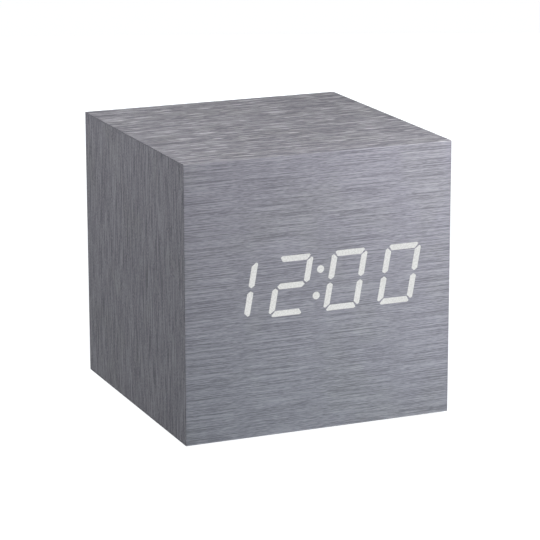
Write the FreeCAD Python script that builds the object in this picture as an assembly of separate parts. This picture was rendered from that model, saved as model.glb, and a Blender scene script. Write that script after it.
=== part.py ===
import FreeCAD, Part
import math
import os
from FreeCAD import Vector

# Talking cube clock, in millimetres. X runs to the right as the front is seen,
# Y runs from the front to the back and Z runs up. The origin is under the middle
# of the clock, on the surface that its feet stand on.

# Case
case_width = 68.0
case_depth = 68.0
overall_height = 68.0
board_thickness = 4.7
film_thickness = 0.3
film_seam = 0.06
film_fold_radius = 0.25
foot_height = 0.8
foot_diameter = 7.0
foot_inset = 3.1

# Display row, as it shows on the front
digit_height = 14.4
digit_width = 9.2
segment_stroke = 1.38
segment_corner_radius = 0.16
digit_slant_degrees = 10.0
digit_pitch = 14.0
row_left_shift = 0.4
row_height = 36.9
colon_dot_diameter = 1.8
colon_dot_spacing = 6.32
inlay_clearance = 0.02

# Display parts behind the front
pocket_skin = 0.8
pocket_margin = 0.6
mask_flange_thickness = 2.0
mask_flange_width = 56.8
mask_flange_height = 27.0
mask_clearance = 0.1
guide_clearance = 0.05
guide_end_gap = 1.6
display_board_thickness = 1.2
display_screw_inset = 2.4
led_length = 1.4
led_width = 0.8
led_height = 0.8
driver_chip_width = 10.0
driver_chip_height = 7.5
driver_chip_thickness = 1.6
driver_chip_offset = 12.0

# Rear panel
panel_width = 54.0
panel_height = 52.0
panel_thickness = 1.6
panel_recess = 1.0
panel_corner_radius = 3.0
panel_clearance = 0.2
ledge_width = 5.0
panel_screw_inset = 2.5
grille_hole_diameter = 1.6
grille_hole_pitch = 2.9
grille_rings = 2
microphone_hole_diameter = 1.0

# Main circuit board, carried on the rear panel
main_board_width = 42.0
main_board_height = 38.8
main_board_thickness = 1.6
main_board_lift = 0.8
boss_height = 7.0
boss_diameter = 4.4
boss_inset = 2.4

# Push buttons and their switches
button_diameter = 6.0
button_hole_clearance = 0.2
button_stand_out = 0.8
button_edge_radius = 0.5
button_flange_diameter = 7.8
button_flange_thickness = 0.8
button_stem_diameter = 3.0
button_rest_gap = 0.1
button_travel = 0.6
button_pitch = 11.0
button_row_drop = 9.0
switch_width = 6.0
switch_height = 3.2
switch_floor = 0.6
switch_lid = 0.7
switch_bore_clearance = 0.2
dome_diameter = 4.4
dome_thickness = 0.15
dome_gap = 0.1

# Slide switch that turns the voice on and off
slide_switch_x = -14.0
slide_switch_rise = 5.0
slide_switch_length = 8.8
slide_switch_width = 4.4
slide_switch_height = 3.6
slide_switch_wall = 0.6
slide_travel = 2.0
slide_lever_length = 2.2
slide_lever_width = 1.8
slide_lever_stand_out = 0.7
slide_block_length = 3.8
slide_clearance = 0.15

# Power socket
socket_x = -10.5
socket_drop = 14.6
socket_width = 7.6
socket_opening_height = 2.8
socket_wall = 0.3
socket_corner_radius = 0.9
socket_depth_below_face = 0.3
socket_clearance = 0.3
socket_base_thickness = 1.6
tongue_width = 4.6
tongue_thickness = 0.7
plug_recess_width = 11.6
plug_recess_height = 6.8
plug_recess_depth = 0.6

# Microphone
microphone_x = -14.0
microphone_drop = 6.6
microphone_diameter = 6.0
microphone_height = 5.0
microphone_face_gap = 0.2
microphone_collar_wall = 0.8
microphone_collar_height = 3.0
microphone_collar_clearance = 0.15
microphone_pin_diameter = 0.5
microphone_pin_pitch = 2.5

# Speaker
speaker_x = 8.5
speaker_drop = 1.0
speaker_diameter = 23.0
speaker_collar_wall = 1.0
speaker_collar_height = 3.0
speaker_collar_clearance = 0.3
cone_front_clearance = 0.25
gasket_width = 1.5
surround_thickness = 0.15
frame_sheet = 0.5
frame_flange_width = 1.3
frame_depth = 2.6
yoke_diameter = 13.8
yoke_height = 2.5
yoke_wall = 0.7
yoke_floor = 0.6
pole_gap = 1.2
pole_plate_thickness = 0.7
coil_thickness = 0.35
coil_pole_clearance = 0.3
coil_height = 2.1
coil_rise = 0.9
cone_sheet = 0.25
cone_dome_height = 1.1
cone_rim_width = 0.4
roll_radius = 0.7
cone_travel = 0.3
terminal_reach = 1.1
terminal_width = 5.0
terminal_thickness = 0.5

# Battery compartment in the base
cell_diameter = 10.5
cell_length = 44.5
cell_nub_diameter = 3.8
cell_nub_length = 1.2
cell_edge_radius = 0.5
cell_count = 4
cell_gap = 0.4
cell_side_gap = 0.45
cell_roof_gap = 0.2
cell_door_gap = 0.4
spring_room = 4.9
spring_wire = 0.5
spring_turns = 3
spring_wide_diameter = 6.4
spring_narrow_diameter = 4.4
spring_end_gap = 0.1
contact_thickness = 0.3
contact_width = 7.6
contact_height = 8.6
contact_tab_width = 3.0
contact_tab_rise = 1.6
tray_wall = 1.2
tray_clearance = 0.1
tray_ear_length = 5.4
tray_ear_width = 9.0
tray_ear_thickness = 1.6
tray_ear_spacing = 30.0
tray_rib_width = 1.6
tray_rib_depth = 1.2
tray_rib_end_gap = 4.0
door_thickness = 1.6
door_recess = 0.1
door_side_gap = 0.2
door_end_gap = 0.3
hinge_pin_diameter = 1.2
hinge_pin_length = 1.0
hinge_pin_clearance = 0.05
latch_width = 10.0
latch_side_gap = 0.3
latch_sheet = 0.6
latch_rise = 1.5
latch_hook_height = 0.7
latch_hook_rise = 1.1
latch_hook_reach = 0.55
latch_slot = 0.6
latch_hook_gap = 0.25
grip_groove_count = 4
grip_groove_width = 0.7
grip_groove_pitch = 1.5
grip_groove_length = 14.0
grip_groove_depth = 0.4

# Screws
screw_shank_diameter = 1.8
screw_bore_clearance = 0.05
screw_slip_clearance = 0.15
screw_head_diameter = 3.6
screw_head_height = 1.2
screw_bite = 2.2
screw_recess_width = 0.5
screw_recess_length = 2.2
screw_recess_depth = 0.6
panel_screw_length = 3.9

# Parts on the main circuit board, facing the inside
clock_chip_width = 7.5
clock_chip_height = 10.0
clock_chip_thickness = 1.7
clock_chip_x = -14.5
clock_chip_rise = -4.0
voice_chip_width = 8.0
voice_chip_height = 5.3
voice_chip_thickness = 1.7
voice_chip_x = 8.0
voice_chip_rise = 11.0
chip_leg_pitch = 1.27
chip_leg_width = 0.45
chip_leg_reach = 0.9
chip_leg_thickness = 0.25
chip_standoff = 0.15
crystal_diameter = 3.0
crystal_length = 8.0
crystal_x = -14.5
crystal_rise = 5.5
crystal_gap = 0.1
capacitor_diameter = 5.0
capacitor_height = 7.0
capacitor_crimp_depth = 0.3
capacitor_crimp_width = 0.8
capacitor_x = 17.4
capacitor_rise = 3.0
capacitor_pitch = 6.4
sensor_diameter = 1.8
sensor_lift = 1.2
sensor_leg_diameter = 0.4
sensor_leg_pitch = 1.0
sensor_x = -18.0
sensor_rise = 10.0
coin_diameter = 20.0
coin_thickness = 3.2
coin_edge = 0.4
coin_x = 3.0
coin_rise = -8.0
holder_wall = 0.9
holder_floor = 0.8
holder_clearance = 0.15
holder_height_share = 0.8
holder_arm_width = 5.0

# Ribbon cable between the two circuit boards
plug_width = 12.4
plug_height = 3.4
plug_depth = 5.0
ribbon_width = 11.4
ribbon_thickness = 0.9
ribbon_plug_x = -6.0
ribbon_main_rise = 15.0
ribbon_display_rise = 7.0

# Hook-up wires
lead_diameter = 1.0
speaker_lead_diameter = 0.7
speaker_lead_spacing = 2.4
lead_pad_inset = 1.6
lead_pad_rise = 7.4
lead_pad_spacing = 2.6
overrun = 1.0

# Case places that follow from the sizes above
half_width = case_width / 2
half_depth = case_depth / 2
case_bottom = foot_height
case_top = overall_height
core_x = half_width - film_thickness
core_y = half_depth - film_thickness
core_bottom = case_bottom + film_thickness
core_top = case_top - film_thickness
cavity_x = core_x - board_thickness
cavity_y = core_y - board_thickness
cavity_bottom = core_bottom + board_thickness
cavity_top = core_top - board_thickness
case_middle = (case_bottom + case_top) / 2

parts_folder = "parts"
os.makedirs(parts_folder, exist_ok=True)


def box(low_x, high_x, low_y, high_y, low_z, high_z):
    size = Vector(high_x - low_x, high_y - low_y, high_z - low_z)
    return Part.makeBox(size.x, size.y, size.z, Vector(low_x, low_y, low_z))


def rod(diameter, start, end):
    along = end.sub(start)
    return Part.makeCylinder(diameter / 2, along.Length, start, along)


def ring(outer_diameter, inner_diameter, start, end):
    reach = end.sub(start)
    reach.normalize()
    reach = reach * overrun
    bore = rod(inner_diameter, start.sub(reach), end.add(reach))
    return rod(outer_diameter, start, end).cut(bore)


def taper(first_diameter, last_diameter, start, end):
    along = end.sub(start)
    return Part.makeCone(first_diameter / 2, last_diameter / 2, along.Length, start, along)


def save(node, *shapes):
    """Write one sub-part, made of one or more separate solids."""
    solids = [solid for shape in shapes for solid in shape.Solids]
    for solid in solids:
        if not solid.isValid() or solid.Volume <= 0:
            raise ValueError(node + " has a bad solid")
    whole = solids[0] if len(solids) == 1 else Part.makeCompound(solids)
    whole.exportStep(os.path.join(parts_folder, node + ".step"))
    print(node, len(solids), round(sum(solid.Volume for solid in solids), 2))


def unit(vector):
    return Vector(vector).normalize()


def rounded_wire(points, radius):
    """Closed flat wire through the points, with an arc at each corner."""
    edges = []
    starts = []
    ends = []
    for index, here in enumerate(points):
        before = unit(points[index - 1].sub(here))
        after = unit(points[(index + 1) % len(points)].sub(here))
        half = before.getAngle(after) / 2
        inward = unit(before.add(after))
        reach = radius / math.tan(half)
        start = here.add(before * reach)
        end = here.add(after * reach)
        middle = here.add(inward * (radius / math.sin(half) - radius))
        starts.append(start)
        ends.append(end)
        edges.append(Part.Arc(start, middle, end).toShape())
    for index in range(len(points)):
        following = (index + 1) % len(points)
        edges.append(Part.makeLine(ends[index], starts[following]))
    return Part.Wire(Part.__sortEdges__(edges))


def rounded_plate(centre_x, centre_z, width, height, radius, low_y, high_y):
    """Plate that faces the front or back, with rounded corners."""
    half_w = width / 2
    half_h = height / 2
    corners = [
        Vector(centre_x - half_w, low_y, centre_z - half_h),
        Vector(centre_x + half_w, low_y, centre_z - half_h),
        Vector(centre_x + half_w, low_y, centre_z + half_h),
        Vector(centre_x - half_w, low_y, centre_z + half_h),
    ]
    face = Part.Face(rounded_wire(corners, radius))
    return face.extrude(Vector(0, high_y - low_y, 0))


def polygon_face(points):
    return Part.Face(Part.makePolygon(points + points[:1]))


def turned(profile, centre_x, centre_z):
    """Solid turned about a line along Y, from a profile of (radius, y) points."""
    points = [Vector(centre_x + radius, y, centre_z) for radius, y in profile]
    face = polygon_face(points)
    return face.revolve(Vector(centre_x, 0, centre_z), Vector(0, 1, 0), 360)


def side_corners(side, half_x, half_y, low_z, high_z):
    """Corners of one side of a box, in the same order for every box."""
    corners = {
        "front": ((-1, -1, 0), (1, -1, 0), (1, -1, 1), (-1, -1, 1)),
        "back": ((-1, 1, 0), (1, 1, 0), (1, 1, 1), (-1, 1, 1)),
        "left": ((-1, -1, 0), (-1, 1, 0), (-1, 1, 1), (-1, -1, 1)),
        "right": ((1, -1, 0), (1, 1, 0), (1, 1, 1), (1, -1, 1)),
        "bottom": ((-1, -1, 0), (1, -1, 0), (1, 1, 0), (-1, 1, 0)),
        "top": ((-1, -1, 1), (1, -1, 1), (1, 1, 1), (-1, 1, 1)),
    }
    heights = (low_z, high_z)
    return [Vector(x * half_x, y * half_y, heights[z]) for x, y, z in corners[side]]


def mitred_board(side):
    """One board of the case, cut at 45 degrees on all four edges."""
    outer = side_corners(side, core_x, core_y, core_bottom, core_top)
    inner = side_corners(side, cavity_x, cavity_y, cavity_bottom, cavity_top)
    faces = [polygon_face(outer), polygon_face(inner)]
    for index in range(len(outer)):
        after = (index + 1) % len(outer)
        faces.append(polygon_face([outer[index], outer[after], inner[after], inner[index]]))
    solid = Part.makeSolid(Part.makeShell(faces))
    if solid.Volume < 0:
        solid.reverse()
    return solid


# Segments of the display
# Each outline is given as shares of the stroke, in from the digit's side and
# down from its top, or up from its middle line.
top_bar_shares = ((0.83, 0.0), (0.57, 0.23), (1.13, 1.0))
upright_top_shares = ((0.0, 0.8), (0.33, 0.57), (1.07, 1.2))
upright_low_shares = ((1.07, 0.67), (0.53, 0.27), (0.0, 0.63))
middle_bar_shares = ((0.8, 0.0), (1.3, 0.5))

half_digit_width = digit_width / 2
half_digit_height = digit_height / 2
digit_slant = math.tan(math.radians(digit_slant_degrees))
row_x = -row_left_shift
digit_names = ("hour_tens_digit", "hour_units_digit", "minute_tens_digit", "minute_units_digit")
middle_place = (len(digit_names) - 1) / 2
digit_centres = [row_x + digit_pitch * (place - middle_place) for place in range(len(digit_names))]
lit_segments = ("bc", "abged", "abcdef", "abcdef")
all_segments = "abcdefg"


def from_top(shares):
    return [
        (half_digit_width - side * segment_stroke, half_digit_height - down * segment_stroke)
        for side, down in shares
    ]


def from_middle(shares):
    return [
        (half_digit_width - side * segment_stroke, up * segment_stroke)
        for side, up in shares
    ]


def segment_outline(letter):
    """Outline of one segment on an upright digit, as (across, up) points."""
    if letter in "ad":
        right = from_top(top_bar_shares)
        outline = right + [(-across, up) for across, up in reversed(right)]
        if letter == "d":
            outline = [(across, -up) for across, up in outline]
        return outline
    if letter == "g":
        tip, shoulder = from_middle(middle_bar_shares)
        half = [tip, shoulder]
        outline = half + [(-across, up) for across, up in reversed(half)]
        return outline + [(-shoulder[0], -shoulder[1]), (shoulder[0], -shoulder[1])]
    outline = from_top(upright_top_shares) + from_middle(upright_low_shares)
    if letter in "ef":
        outline = [(-across, up) for across, up in outline]
    if letter in "ce":
        outline = [(across, -up) for across, up in outline]
    return outline


def slanted(outline, centre_x):
    """The outline in its place on the front, going round the same way each time."""
    points = [Vector(centre_x + across + up * digit_slant, row_height + up, 0) for across, up in outline]
    turn = sum(
        points[index - 1].x * points[index].y - points[index].x * points[index - 1].y
        for index in range(len(points))
    )
    return points if turn > 0 else points[::-1]


def grown(points, distance):
    """The outline with each side moved outwards by a distance."""
    result = []
    for index, here in enumerate(points):
        arriving = unit(here.sub(points[index - 1]))
        leaving = unit(points[(index + 1) % len(points)].sub(here))
        first = Vector(arriving.y, -arriving.x, 0)
        second = Vector(leaving.y, -leaving.x, 0)
        share = distance / (1 + first.dot(second))
        result.append(here.add(first.add(second) * share))
    return result


def segment_prism(points, distance, low_y, high_y):
    flat = grown(points, distance)
    corners = [Vector(point.x, low_y, point.y) for point in flat]
    face = Part.Face(rounded_wire(corners, segment_corner_radius))
    return face.extrude(Vector(0, high_y - low_y, 0))


def dot_prism(side, distance, low_y, high_y):
    up = side * colon_dot_spacing / 2
    centre = Vector(row_x + up * digit_slant, low_y, row_height + up)
    end = Vector(centre.x, high_y, centre.z)
    return rod(colon_dot_diameter + 2 * distance, centre, end)


def digit_prisms(place, letters, distance, low_y, high_y):
    centre = digit_centres[place]
    return [
        segment_prism(slanted(segment_outline(letter), centre), distance, low_y, high_y)
        for letter in letters
    ]


def dot_prisms(distance, low_y, high_y):
    return [dot_prism(side, distance, low_y, high_y) for side in (-1, 1)]


def display_prisms(distance, low_y, high_y):
    """All segments and both dots of the display, lit or not."""
    prisms = []
    for place in range(len(digit_centres)):
        prisms += digit_prisms(place, all_segments, distance, low_y, high_y)
    return prisms + dot_prisms(distance, low_y, high_y)


def lit_prisms(distance, low_y, high_y):
    prisms = []
    for place, letters in enumerate(lit_segments):
        prisms += digit_prisms(place, letters, distance, low_y, high_y)
    return prisms + dot_prisms(distance, low_y, high_y)


# Screws
def pan_screw(seat, direction, clamped):
    """Round-headed screw with a cross recess. Its head stands on the seat."""
    inward = unit(direction)
    top = seat.sub(inward * screw_head_height)
    head = rod(screw_head_diameter, top, seat)
    crown = head.Edges
    head = head.makeFillet(screw_head_height / 3, [edge for edge in crown if same_place(edge, top)])
    shank = rod(screw_shank_diameter, seat, seat.add(inward * (clamped + screw_bite)))
    return head.fuse(shank).cut(cross_recess(top, inward)).removeSplitter()


def same_place(edge, centre):
    middle = edge.CenterOfMass
    return abs(middle.sub(centre).Length) < screw_recess_width / 10


def cross_recess(top, inward):
    """Cross-shaped recess in a screw head."""
    long_half = screw_recess_length / 2
    short_half = screw_recess_width / 2
    bars = []
    for across, up in ((long_half, short_half), (short_half, long_half)):
        bar = Part.makeBox(2 * across, 2 * up, 2 * screw_recess_depth)
        bar.translate(Vector(-across, -up, -screw_recess_depth))
        bars.append(bar)
    tool = bars[0].fuse(bars[1])
    turn = FreeCAD.Rotation(Vector(0, 0, 1), inward)
    tool.Placement = FreeCAD.Placement(top, turn)
    return tool


screw_bore = screw_shank_diameter + 2 * screw_bore_clearance
screw_slip_bore = screw_shank_diameter + 2 * screw_slip_clearance

# Base and battery compartment places
cell_pitch = cell_diameter + cell_gap
cell_rows = [cell_pitch * (row - (cell_count - 1) / 2) for row in range(cell_count)]
tray_inner_x = (cell_length + spring_room + 2 * contact_thickness) / 2
tray_inner_y = (cell_pitch * (cell_count - 1) + cell_diameter) / 2 + cell_side_gap
tray_outer_x = tray_inner_x + tray_wall
tray_outer_y = tray_inner_y + tray_wall
door_low = case_bottom + door_recess
door_high = door_low + door_thickness
cell_low = door_high + cell_door_gap
cell_axis_z = cell_low + cell_diameter / 2
tray_roof = cell_low + cell_diameter + cell_roof_gap
tray_top = tray_roof + tray_wall
tray_ear_end = tray_outer_y + tray_ear_length
ear_screw_y = tray_outer_y + tray_ear_length / 2
ear_top = cavity_bottom + tray_ear_thickness
ear_places = [
    Vector(side_x * tray_ear_spacing / 2, side_y * ear_screw_y, ear_top)
    for side_x in (-1, 1)
    for side_y in (-1, 1)
]
base_opening_x = tray_outer_x + tray_clearance
base_opening_y = tray_outer_y + tray_clearance

# Display places
pocket_back = -cavity_y
pocket_floor = -core_y + pocket_skin
digit_reach = half_digit_width + half_digit_height * digit_slant
pocket_half_width = digit_pitch * middle_place + digit_reach + pocket_margin
pocket_half_height = half_digit_height + pocket_margin * 2
flange_back = pocket_back + mask_flange_thickness
display_board_back = flange_back + display_board_thickness
display_screws = [
    Vector(
        side_x * (mask_flange_width / 2 - display_screw_inset),
        display_board_back,
        row_height + side_z * (mask_flange_height / 2 - display_screw_inset),
    )
    for side_x in (-1, 1)
    for side_z in (-1, 1)
]

# Rear panel places
panel_outer = half_depth - panel_recess
panel_inner = panel_outer - panel_thickness
rebate_width = panel_width + 2 * panel_clearance
rebate_height = panel_height + 2 * panel_clearance
opening_width = panel_width - 2 * ledge_width
opening_height = panel_height - 2 * ledge_width
panel_screws = [
    Vector(
        side_x * (panel_width / 2 - panel_screw_inset),
        panel_outer,
        case_middle + side_z * (panel_height / 2 - panel_screw_inset),
    )
    for side_x in (-1, 1)
    for side_z in (-1, 1)
]


# Boards of the case
def front_board():
    pocket = box(
        row_x - pocket_half_width,
        row_x + pocket_half_width,
        pocket_floor,
        pocket_back + overrun,
        row_height - pocket_half_height,
        row_height + pocket_half_height,
    )
    cuts = [pocket] + display_prisms(guide_clearance, -core_y - overrun, pocket_floor + overrun)
    for place in display_screws:
        tip = Vector(place.x, pocket_back - screw_bite, place.z)
        cuts.append(rod(screw_bore, tip, place))
    return mitred_board("front").cut(cuts)


def back_board():
    corner = panel_corner_radius + panel_clearance
    rebate = rounded_plate(
        0, case_middle, rebate_width, rebate_height, corner, panel_inner, half_depth + overrun
    )
    opening = rounded_plate(0, case_middle, opening_width, opening_height, corner, 0, half_depth)
    cuts = [rebate, opening]
    for place in panel_screws:
        start = Vector(place.x, 0, place.z)
        cuts.append(rod(screw_bore, start, place))
    return mitred_board("back").cut(cuts)


def bottom_board():
    opening = box(
        -base_opening_x, base_opening_x, -base_opening_y, base_opening_y, -overrun, cavity_bottom + overrun
    )
    cuts = [opening]
    for place in ear_places:
        tip = Vector(place.x, place.y, cavity_bottom - screw_bite)
        cuts.append(rod(screw_bore, tip, place))
    return mitred_board("bottom").cut(cuts)


# Film round the front, top, back and base
def wrap_profile():
    corners = [
        Vector(-half_width, -half_depth, case_bottom),
        Vector(-half_width, half_depth, case_bottom),
        Vector(-half_width, half_depth, case_top),
        Vector(-half_width, -half_depth, case_top),
    ]
    return Part.Face(rounded_wire(corners, film_fold_radius))


def wrap_film():
    whole = wrap_profile().extrude(Vector(case_width, 0, 0))
    inside = box(
        -half_width - overrun, half_width + overrun, -core_y, core_y, core_bottom, core_top
    )
    corner = panel_corner_radius + panel_clearance
    rear = rounded_plate(0, case_middle, rebate_width, rebate_height, corner, 0, half_depth + overrun)
    base = box(
        -base_opening_x, base_opening_x, -base_opening_y, base_opening_y, -overrun, core_bottom + overrun
    )
    windows = lit_prisms(inlay_clearance, -half_depth - overrun, -core_y + overrun)
    return whole.cut([inside, rear, base] + windows)


def side_film(side):
    outer = side * half_width
    inner = side * core_x
    return box(
        min(outer, inner),
        max(outer, inner),
        -core_y + film_seam,
        core_y - film_seam,
        core_bottom + film_seam,
        core_top - film_seam,
    )


def feet():
    reach_x = half_width - foot_inset - foot_diameter / 2
    reach_y = half_depth - foot_inset - foot_diameter / 2
    discs = []
    for side_x in (-1, 1):
        for side_y in (-1, 1):
            low = Vector(side_x * reach_x, side_y * reach_y, 0)
            disc = rod(foot_diameter, low, Vector(low.x, low.y, foot_height))
            rim = [edge for edge in disc.Edges if same_place(edge, low)]
            discs.append(disc.makeFillet(foot_height / 4, rim))
    return discs


save("front_board", front_board())
save("back_board", back_board())
save("bottom_board", bottom_board())
for board_side in ("top", "left", "right"):
    save(board_side + "_board", mitred_board(board_side))
save("wrap_film", wrap_film())
save("left_film", side_film(-1))
save("right_film", side_film(1))
save("rubber_feet", *feet())


# Display
def display_mask():
    block = box(
        row_x - pocket_half_width + mask_clearance,
        row_x + pocket_half_width - mask_clearance,
        pocket_floor,
        pocket_back + overrun,
        row_height - pocket_half_height + mask_clearance,
        row_height + pocket_half_height - mask_clearance,
    )
    flange = box(
        -mask_flange_width / 2,
        mask_flange_width / 2,
        pocket_back,
        flange_back,
        row_height - mask_flange_height / 2,
        row_height + mask_flange_height / 2,
    )
    cuts = display_prisms(guide_clearance, pocket_floor - overrun, flange_back + overrun)
    for place in display_screws:
        start = Vector(place.x, pocket_back - overrun, place.z)
        cuts.append(rod(screw_slip_bore, start, place))
    return block.fuse(flange).cut(cuts)


def display_circuit_board():
    plate = box(
        -mask_flange_width / 2,
        mask_flange_width / 2,
        flange_back,
        display_board_back,
        row_height - mask_flange_height / 2,
        row_height + mask_flange_height / 2,
    )
    cuts = []
    for place in display_screws:
        start = Vector(place.x, flange_back - overrun, place.z)
        end = Vector(place.x, display_board_back + overrun, place.z)
        cuts.append(rod(screw_slip_bore, start, end))
    return plate.cut(cuts)


def segment_leds():
    """One light-emitting chip behind each segment and each dot."""
    chips = []
    for centre in digit_centres:
        for letter in all_segments:
            outline = slanted(segment_outline(letter), centre)
            across = sum(point.x for point in outline) / len(outline)
            up = sum(point.y for point in outline) / len(outline)
            level = letter in "adg"
            width = led_length if level else led_width
            height = led_width if level else led_length
            chips.append(led_chip(across, up, width, height))
    for side in (-1, 1):
        up = side * colon_dot_spacing / 2
        chips.append(led_chip(row_x + up * digit_slant, row_height + up, led_width, led_length))
    return chips


def led_chip(centre_x, centre_z, width, height):
    return box(
        centre_x - width / 2,
        centre_x + width / 2,
        flange_back - led_height,
        flange_back,
        centre_z - height / 2,
        centre_z + height / 2,
    )


def legged_chip(centre_x, centre_z, width, height, thickness, seat_y, facing):
    """Chip with a row of bent legs on its left and right. It stands out along Y."""
    def slab(low_x, high_x, near, far, low_z, high_z):
        first = seat_y + facing * near
        last = seat_y + facing * far
        return box(low_x, high_x, min(first, last), max(first, last), low_z, high_z)

    left = centre_x - width / 2
    right = centre_x + width / 2
    low = centre_z - height / 2
    high = centre_z + height / 2
    body = slab(left, right, chip_standoff, thickness, low, high)
    count = int(height / chip_leg_pitch)
    first_leg = centre_z - (count - 1) * chip_leg_pitch / 2
    level = thickness / 2
    solids = [body]
    for index in range(count):
        leg_low = first_leg + index * chip_leg_pitch - chip_leg_width / 2
        leg_high = leg_low + chip_leg_width
        for edge, way in ((left, -1), (right, 1)):
            knee = edge + way * chip_leg_reach / 2
            toe = edge + way * chip_leg_reach
            bend = knee - way * chip_leg_thickness
            top = level + chip_leg_thickness
            for ends, near, far in (
                ((edge, knee), level, top),
                ((bend, knee), 0, top),
                ((bend, toe), 0, chip_leg_thickness),
            ):
                solids.append(slab(min(ends), max(ends), near, far, leg_low, leg_high))
    return solids[0].fuse(solids[1:]).removeSplitter()


for place, letters in enumerate(lit_segments):
    save(digit_names[place], *digit_prisms(place, letters, 0, -half_depth, -core_y))
save("colon_dots", *dot_prisms(0, -half_depth, -core_y))
guides_back = flange_back - guide_end_gap
save("segment_light_guides", *display_prisms(0, -core_y, guides_back))
save("display_mask", display_mask())
save("display_circuit_board", display_circuit_board())
save("segment_leds", *segment_leds())
save(
    "display_driver_chip",
    legged_chip(
        driver_chip_offset,
        row_height,
        driver_chip_width,
        driver_chip_height,
        driver_chip_thickness,
        display_board_back,
        1,
    ),
)

# Places behind the rear panel
main_board_back = panel_inner - boss_height
main_board_front = main_board_back - main_board_thickness
main_board_middle = case_middle + main_board_lift
bosses = [
    Vector(
        side_x * (main_board_width / 2 - boss_inset),
        main_board_back,
        main_board_middle + side_z * (main_board_height / 2 - boss_inset),
    )
    for side_x in (-1, 1)
    for side_z in (-1, 1)
]
button_names = ("down_button", "set_button", "up_button")
button_places = [button_pitch * (place - (len(button_names) - 1) / 2) for place in range(len(button_names))]
button_row = case_middle + panel_height / 2 - button_row_drop
speaker_z = case_middle - speaker_drop
slide_switch_z = case_middle + slide_switch_rise
socket_z = case_middle - socket_drop
microphone_z = case_middle - microphone_drop
collar_inner = speaker_diameter + 2 * speaker_collar_clearance
collar_outer = collar_inner + 2 * speaker_collar_wall
microphone_bore = microphone_diameter + 2 * microphone_collar_clearance
slide_slot_length = slide_lever_length + slide_travel + 2 * slide_clearance
slide_slot_width = slide_lever_width + 2 * slide_clearance


def grille_centres():
    """Holes in rings round one in the middle, six more in each ring."""
    centres = [(speaker_x, speaker_z)]
    for ring_number in range(1, grille_rings + 1):
        count = 6 * ring_number
        for index in range(count):
            angle = 2 * math.pi * index / count
            reach = ring_number * grille_hole_pitch
            centres.append((speaker_x + reach * math.cos(angle), speaker_z + reach * math.sin(angle)))
    return centres


def across_panel(diameter, centre_x, centre_z):
    start = Vector(centre_x, panel_inner - overrun, centre_z)
    end = Vector(centre_x, panel_outer + overrun, centre_z)
    return rod(diameter, start, end)


def rear_panel():
    plate = rounded_plate(
        0, case_middle, panel_width, panel_height, panel_corner_radius, panel_inner, panel_outer
    )
    added = []
    for boss in bosses:
        added.append(rod(boss_diameter, boss, Vector(boss.x, panel_inner + panel_thickness / 2, boss.z)))
    seat_y = panel_inner + panel_thickness / 2
    start = Vector(speaker_x, panel_inner - speaker_collar_height, speaker_z)
    added.append(rod(collar_outer, start, Vector(speaker_x, seat_y, speaker_z)))
    start = Vector(microphone_x, panel_inner - microphone_collar_height, microphone_z)
    wall = microphone_bore + 2 * microphone_collar_wall
    added.append(rod(wall, start, Vector(microphone_x, seat_y, microphone_z)))
    body = plate.fuse(added)

    cuts = []
    for centre_x, centre_z, bore, height in (
        (speaker_x, speaker_z, collar_inner, speaker_collar_height),
        (microphone_x, microphone_z, microphone_bore, microphone_collar_height),
    ):
        start = Vector(centre_x, panel_inner - height - overrun, centre_z)
        cuts.append(rod(bore, start, Vector(centre_x, panel_inner, centre_z)))
    for boss in bosses:
        start = Vector(boss.x, boss.y - overrun, boss.z)
        cuts.append(rod(screw_bore, start, Vector(boss.x, boss.y + screw_bite + overrun / 2, boss.z)))
    for place in panel_screws:
        cuts.append(across_panel(screw_slip_bore, place.x, place.z))
        sink = place.sub(Vector(0, screw_head_height, 0))
        wide = screw_head_diameter + 2 * screw_slip_clearance
        cuts.append(taper(screw_slip_bore, wide, sink, place))
    for centre_x in button_places:
        bore = button_diameter + 2 * button_hole_clearance
        cuts.append(across_panel(bore, centre_x, button_row))
    for centre_x, centre_z in grille_centres():
        cuts.append(across_panel(grille_hole_diameter, centre_x, centre_z))
    cuts.append(across_panel(microphone_hole_diameter, microphone_x, microphone_z))
    cuts.append(
        box(
            slide_switch_x - slide_slot_length / 2,
            slide_switch_x + slide_slot_length / 2,
            panel_inner - overrun,
            panel_outer + overrun,
            slide_switch_z - slide_slot_width / 2,
            slide_switch_z + slide_slot_width / 2,
        )
    )
    cuts.append(socket_block(socket_clearance, panel_inner - overrun, panel_outer + overrun))
    cuts.append(
        rounded_plate(
            socket_x,
            socket_z,
            plug_recess_width,
            plug_recess_height,
            socket_corner_radius,
            panel_outer - plug_recess_depth,
            panel_outer + overrun,
        )
    )
    return body.cut(cuts).removeSplitter()


def socket_block(distance, low_y, high_y):
    width = socket_width + 2 * distance
    height = socket_opening_height + 2 * socket_wall + 2 * distance
    return rounded_plate(
        socket_x, socket_z, width, height, socket_corner_radius + distance, low_y, high_y
    )


def countersunk_screw(place):
    """Flat-headed screw, flush with the panel's outer face."""
    neck = place.sub(Vector(0, screw_head_height, 0))
    tip = place.sub(Vector(0, panel_screw_length, 0))
    head = taper(screw_shank_diameter, screw_head_diameter, neck, place)
    shank = rod(screw_shank_diameter, tip, neck)
    return head.fuse(shank).cut(cross_recess(place, Vector(0, -1, 0))).removeSplitter()


def main_circuit_board():
    plate = box(
        -main_board_width / 2,
        main_board_width / 2,
        main_board_front,
        main_board_back,
        main_board_middle - main_board_height / 2,
        main_board_middle + main_board_height / 2,
    )
    cuts = []
    for boss in bosses:
        start = Vector(boss.x, main_board_front - overrun, boss.z)
        cuts.append(rod(screw_slip_bore, start, Vector(boss.x, boss.y + overrun, boss.z)))
    return plate.cut(cuts)


# Push buttons
flange_top = panel_inner - button_rest_gap
flange_low = flange_top - button_flange_thickness
switch_top = main_board_back + switch_height
dome_base = main_board_back + switch_floor
dome_height = 1.5 * button_travel
dome_top = dome_base + dome_height


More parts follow.
